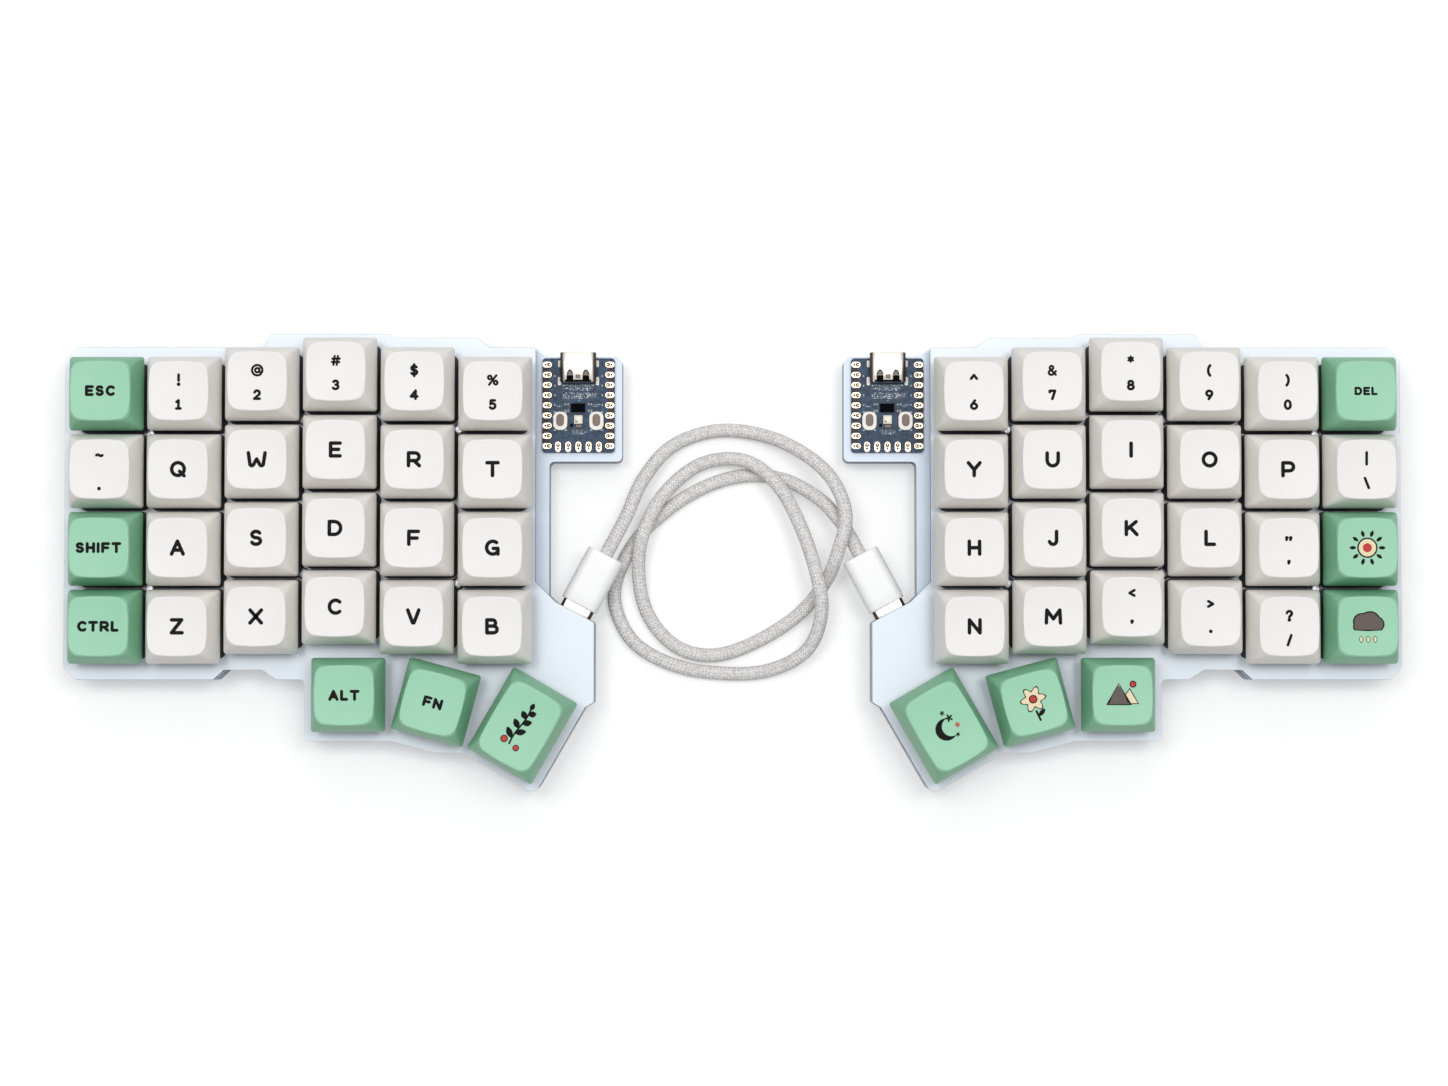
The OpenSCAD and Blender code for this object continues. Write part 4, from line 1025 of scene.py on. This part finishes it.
def addSocket(at, turn, height, flip=False):
    # the tube with its flanks painted darker as shade, and the tongue inside
    tube = splitSides(socketTube(), socket["side"])
    fittings.add(laidAlong(tube, at, turn, height, flip), (slotOf(shellSideShade), steel, steel, steel))
    fittings.add(laidAlong(socketTongue(), at, turn, height, flip), slotOf(tongueBlack))


def put(piece, finish, x, y):
    # places are measured from the board's middle, and heights below from its top
    fittings.add(placed(piece, (*(boardAt + (x, y)), 0)), slotOf(finish))


def slab(finish, x, y, width, length, low, high, corner, edge, arc=3):
    # a small block between two heights
    put(block(width, length, top + low, top + high, corner, edge, arc), finish, x, y)


def patch(finish, x, y, halfX, halfY, corner, lift, arc=5):
    # a flat spot at one height
    put(capsule(halfX, halfY, corner, top + lift, arc), finish, x, y)


def pad(halfX, halfY, x, y, wayX, wayY):
    # gold over a copper rim, with a plated hole towards the board's middle and a smaller one behind it; the
    # holes are flat dark discs, painted shade in place of their depth
    patch(holeBrown, x, y, halfX + 0.1, halfY + 0.1, 0.72, 0.02)
    patch(padGold, x, y, halfX, halfY, 0.68, 0.03)
    patch(holeBrown, x + 0.42 * wayX, y + 0.42 * wayY, 0.48, 0.48, 0.47, 0.04)
    patch(padGold, x + 0.5 * wayX, y + 0.5 * wayY, 0.15, 0.15, 0.14, 0.05)
    patch(holeBrown, x - 0.42 * wayX, y - 0.42 * wayY, 0.27, 0.27, 0.26, 0.04)


# rows of printed dashes: a height on the board, and where the row starts and ends
dashRows = (
    (5.0, -3.9, 3.6), (4.6, -2.4, 3.6), (4.2, -3.9, 3.8), (3.8, -2.2, 2.6), (3.0, -3.2, 4.6),
    (2.6, -3.9, 4.2), (2.2, -3.9, 4.0), (1.8, -3.9, 3.6), (1.2, -0.5, 0.5), (0.1, 3.3, 5.6),
    (-0.3, 3.6, 5.2), (-0.3, -5.4, -4.2), (-6.3, -1.9, 1.9), (-6.7, -1.9, 1.9), (-7.1, -1.3, 1.5))
dashFinishes = (markWhite, markWhite, markWhite, frameWhite, buttonGrey)
arch = np.array([(-0.84, 0), (0.84, 0), (0.7, 0.75), (0.36, 1.25), (0, 1.4), (-0.36, 1.25), (-0.7, 0.75)])
halfWide, halfLong, pitch = controller["width"] / 2, controller["length"] / 2, controller["pitch"]
lid = stack["fit"] + 2 * socket["halfHeight"]
socketBack = halfLong + socket["out"] - socket["length"] + 0.05
for mirror in (1, -1):
    boardAt = (halfAt + controller["at"]) * (mirror, 1)
    for edge in (-1, 1):
        for i in range(-4, 5):
            pad(1.12, 0.7, edge * (halfWide - 1.2), i * pitch, -edge, 0)
        for i in range(-4, 4):
            patch(edgeDark, edge * (halfWide - 0.86), (i + 0.5) * pitch, 0.8, 0.45, 0.08, 0.015)
    for i in range(-2, 3):
        pad(0.7, 1.25, i * pitch, 1.4 - halfLong, 0, 1)
    # chip, lamp and two small parts below it
    slab(chipBlack, -0.1, -0.65, 3.5, 2.1, 0.05, 0.85, 0.1, 0.06)
    slab(lampCream, 0, -3.6, 2.1, 2.1, 0.05, 0.7, 0.1, 0.06)
    patch(frameWhite, 0.1, -3.5, 0.62, 0.5, 0.3, 0.71)
    patch(buttonGrey, -0.5, -4.1, 0.3, 0.2, 0.1, 0.72)
    slab(buttonGrey, 0.1, -5.2, 1.5, 0.7, 0.02, 0.4, 0.1, 0.05)
    slab(chipBlack, -1.7, -5.0, 0.7, 0.7, 0.02, 0.4, 0.1, 0.05)
    # the dashes' lengths and gaps come from a fixed draw
    draw = np.random.default_rng(5)
    for y, x, end in dashRows:
        while x < end:
            wide = draw.uniform(0.07, 0.22)
            if draw.random() < 0.86:
                tall = draw.uniform(0.08, 0.15)
                finish = dashFinishes[draw.choice(len(dashFinishes))]
                patch(finish, x + wide, y + draw.uniform(-0.06, 0.06), wide, tall, 0.06, 0.02, 1)
            x += 2 * wide + draw.uniform(0.1, 0.24)
    for edge in (-1, 1):
        # a button in its frame, with four bright feet
        slab(frameWhite, edge * 4.5, -3.95, 3.55, 4.6, 0.03, 0.9, 1.45, 0.14, 6)
        slab(buttonGrey, edge * 4.5, -3.75, 1.85, 3.0, 0.2, 1.3, 0.9, 0.15, 6)
        for x, y in ((-1.35, -1.75), (1.35, -1.75), (-1.35, -6.2), (1.35, -6.2)):
            slab(markWhite, edge * 4.5 + x, y, 0.6, 0.42, 0.02, 0.2, 0.1, 0.04)
        for y in (-2.5, 0.1, 2.5, 4.9, 7.3):
            patch(markWhite, edge * 5.9, y, 0.16, 0.22, 0.06, 0.02, 1)
        # little parts beside the chip, tan bodies with bright ends
        for y in (0.2, -1.4):
            slab(buttonGrey, edge * 2.9, y, 1.0, 0.5, 0.02, 0.4, 0.08, 0.04)
            for end in (-0.42, 0.42):
                slab(markWhite, edge * 2.9 + end, y, 0.26, 0.54, 0.02, 0.43, 0.05, 0.03)
        # solder beside the socket
        slab(frameWhite, edge * 4.72, 10.35, 0.75, 1.7, 0.02, 0.3, 0.3, 0.08)
        slab(frameWhite, edge * 4.72, 6.0, 0.85, 2.1, 0.02, 0.3, 0.3, 0.08)
    socketAt = np.array([*boardAt, 0]) + (0, halfLong + socket["out"], 0)
    addSocket(socketAt, 0, top + stack["fit"] + socket["halfHeight"])
    # windows and bent tabs at the socket's back
    patch(tongueBlack, 0, socketBack + 0.22, 3.3, 0.24, 0.1, lid + 0.015)
    patch(buttonGrey, 0, socketBack + 1.25, 0.6, 0.5, 0.1, lid + 0.012)
    for edge in (-1, 1):
        patch(tongueBlack, edge * 2.0, socketBack + 0.75, 0.84, 0.85, 0.1, lid + 0.02)
        put(flatFan(arch, top + lid + 0.02), edgeDark, edge * 2.0, socketBack + 1.68)
        put(flatFan(arch * 0.6, top + lid + 0.03), buttonGrey, edge * 2.0, socketBack + 1.85)
for flip in (False, True):
    addSocket(portAt - (*(portOut * port["setBack"]), 0), port["turn"], plugHeight, flip)
fittingPiece = fittings.make("boardFittings", boardFinishes, crease=40)
print("controllers made")


# standoffs, screws and feet: profiles turned on a lathe
fastener = {
    "stand": 2.0, "bore": 1.05, "head": 1.6, "headHigh": 1.2, "shank": 1.0, "grip": 3.0, "foot": 4.5,
    "seam": 0.01}
brassTurned = mottled(
    "brassTurned", (222, 190, 120), (204, 168, 96), (0.4, 3), rough=(0.25, 0.15, 0.4, 3), Metallic=1.0)
screwSteel = mottled(
    "screwSteel", (200, 202, 206), (176, 178, 184), (0.4, 2), rough=(0.28, 0.15, 0.3, 2), Metallic=1.0)
footRubber = mottled(
    "footRubber", (58, 60, 64), (70, 72, 77), (1.5, 2), rough=(0.75, 0.1, 0.5, 2), grain=(0.03, 0.2, 3),
    Specular_IOR_Level=0.25)


def standoffTurned():
    # a bored post with bevelled ends and a groove near its foot
    low, high = stack["baseTop"] + fastener["seam"], stack["plate"] - fastener["seam"]
    r, b = fastener["stand"], fastener["bore"]
    return lathe([
        (b, low + 0.3), (b + 0.2, low), (r - 0.2, low), (r, low + 0.2), (r, low + 2), (r - 0.12, low + 2.1),
        (r - 0.12, low + 2.5), (r, low + 2.6), (r, high - 0.2), (r - 0.2, high),
        (b + 0.2, high), (b, high - 0.3)], 28)


def screwTurned(seat, way):
    # a domed head with a socket in it, and a shank through the plate into the standoff
    h, w, s = fastener["headHigh"], fastener["head"], fastener["shank"]
    tip = stack["plate"] - stack["plateTop"] - fastener["grip"]
    profile = np.array([
        (s - 0.2, tip), (s, tip + 0.2), (s, 0.03), (w, 0.05), (w, h * 0.45), (w - 0.15, h * 0.75),
        (w - 0.5, h * 0.97), (0.85, h), (0.8, h - 0.1), (0.75, h - 0.7)])
    profile[:, 1] = seat + way * profile[:, 1]
    return lathe(profile if way > 0 else profile[::-1])


def footTurned():
    # a rubber disc that narrows to a soft edge on the desk
    r, high = fastener["foot"], stack["base"]
    return lathe([
        (r - 1.1, 0.0), (r - 0.7, 0.08), (r - 0.45, 0.35), (r, high - 0.2), (r, high - fastener["seam"])], 40)


standSpots = [
    (-85.725, -9.525), (-85.725, -47.625), (-47.625, -5.953), (-47.625, -44.053), (-9.525, -8.334),
    (-9.525, -46.434)]
footSpots = [(-95.25, 0), (-95.25, -57.15), controller["at"], (-35.719, -73.819), (6.858, -81.344)]
standParts = [
    (standoffTurned(), 0), (screwTurned(stack["plateTop"], 1), 1), (screwTurned(stack["base"], -1), 1)]
fasteners = Shape()
for flip in (False, True):
    for spots, parts in ((standSpots, standParts), (footSpots, [(footTurned(), 2)])):
        for spot in spots:
            for part, slot in parts:
                fasteners.add(placed(part, (*(halfAt + spot), 0), 0, flip), slot)
fastenerPiece = fasteners.make("fasteners", [brassTurned, screwSteel, footRubber])
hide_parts("hardware")
print("fasteners made")


# desk, light and sky, in metres
studio = {"sky": 0.43, "floor": 3.0, "drop": 0.00003, "glow": 0.358, "near": 0.3, "far": 0.7}
panels = {
    "leftPanel": {"at": (-0.33, 0.22, 1.35), "power": 5.1, "size": 0.4},
    "rightPanel": {"at": (0.33, 0.22, 1.35), "power": 5.1, "size": 0.4},
    "backPanel": {"at": (0, 0.65, 0.95), "power": 1.5, "size": 0.6}}
deskWhite = Finish("deskWhite", Roughness=0.8, Specular_IOR_Level=0.1)
deskPale = deskWhite.mix((1.11, 1.11, 1.11, 1), (1.1, 1.1, 1.1, 1), deskWhite.noise(60))
# less light comes back up from the desk, so that undersides keep their shade
bounced = deskWhite.node("LightPath", {}, {}, "Is Diffuse Ray")
deskWhite.set("Base Color", deskWhite.mix(deskPale, (0.6, 0.6, 0.6, 1), bounced))
glow = deskWhite.node("Emission", {}, {"Color": (1, 1, 1, 1), "Strength": 1.0})
# shadows show near the keyboard, and the desk turns white with the distance from it
away = deskWhite.node("VectorMath", {"operation": "LENGTH"}, {0: deskWhite.here()}, "Value")
fade = ((away - studio["near"]) * (1 / (studio["far"] - studio["near"]))).clamped()
whiteShare = deskWhite.whiteRays() * (fade * (1 - studio["glow"]) + studio["glow"])
lit = Wire(deskWhite, deskWhite.surface.outputs[0])
deskWhite.show("Material Output", deskWhite.node("MixShader", {}, {0: whiteShare, 1: lit, 2: glow}))
half = studio["floor"] / 2
deskCorners = [(x * half, y * half, -studio["drop"]) for x, y in ((-1, -1), (1, -1), (1, 1), (-1, 1))]
deskMesh = bpy.data.meshes.new("desk")
deskMesh.from_pydata(deskCorners, [], [(0, 1, 2, 3)])
deskMesh.materials.append(deskWhite.material)
desk = bpy.data.objects.new("desk", deskMesh)
scene.collection.objects.link(desk)

# two soft panels above and a weak one behind, turned to the keyboard
for name, light in panels.items():
    panelData = bpy.data.lights.new(name, "AREA")
    panelData.energy, panelData.size = light["power"], light["size"]
    panel = bpy.data.objects.new(name, panelData)
    panel.location = light["at"]
    panel.rotation_euler = (-panel.location).to_track_quat("-Z", "Y").to_euler()
    panel.visible_camera = False
    scene.collection.objects.link(panel)

sky = bpy.data.worlds.new("paleSky")
scene.world = sky
sky.use_nodes = True
skyGraph = Graph(sky.node_tree)
levels = (studio["sky"], 1.0)
dim, white = [skyGraph.node("Background", {}, {"Color": (1, 1, 1, 1), "Strength": level}) for level in levels]
skyGraph.show("World Output", skyGraph.node("MixShader", {}, {0: skyGraph.whiteRays(), 1: dim, 2: white}))
print("studio lit")
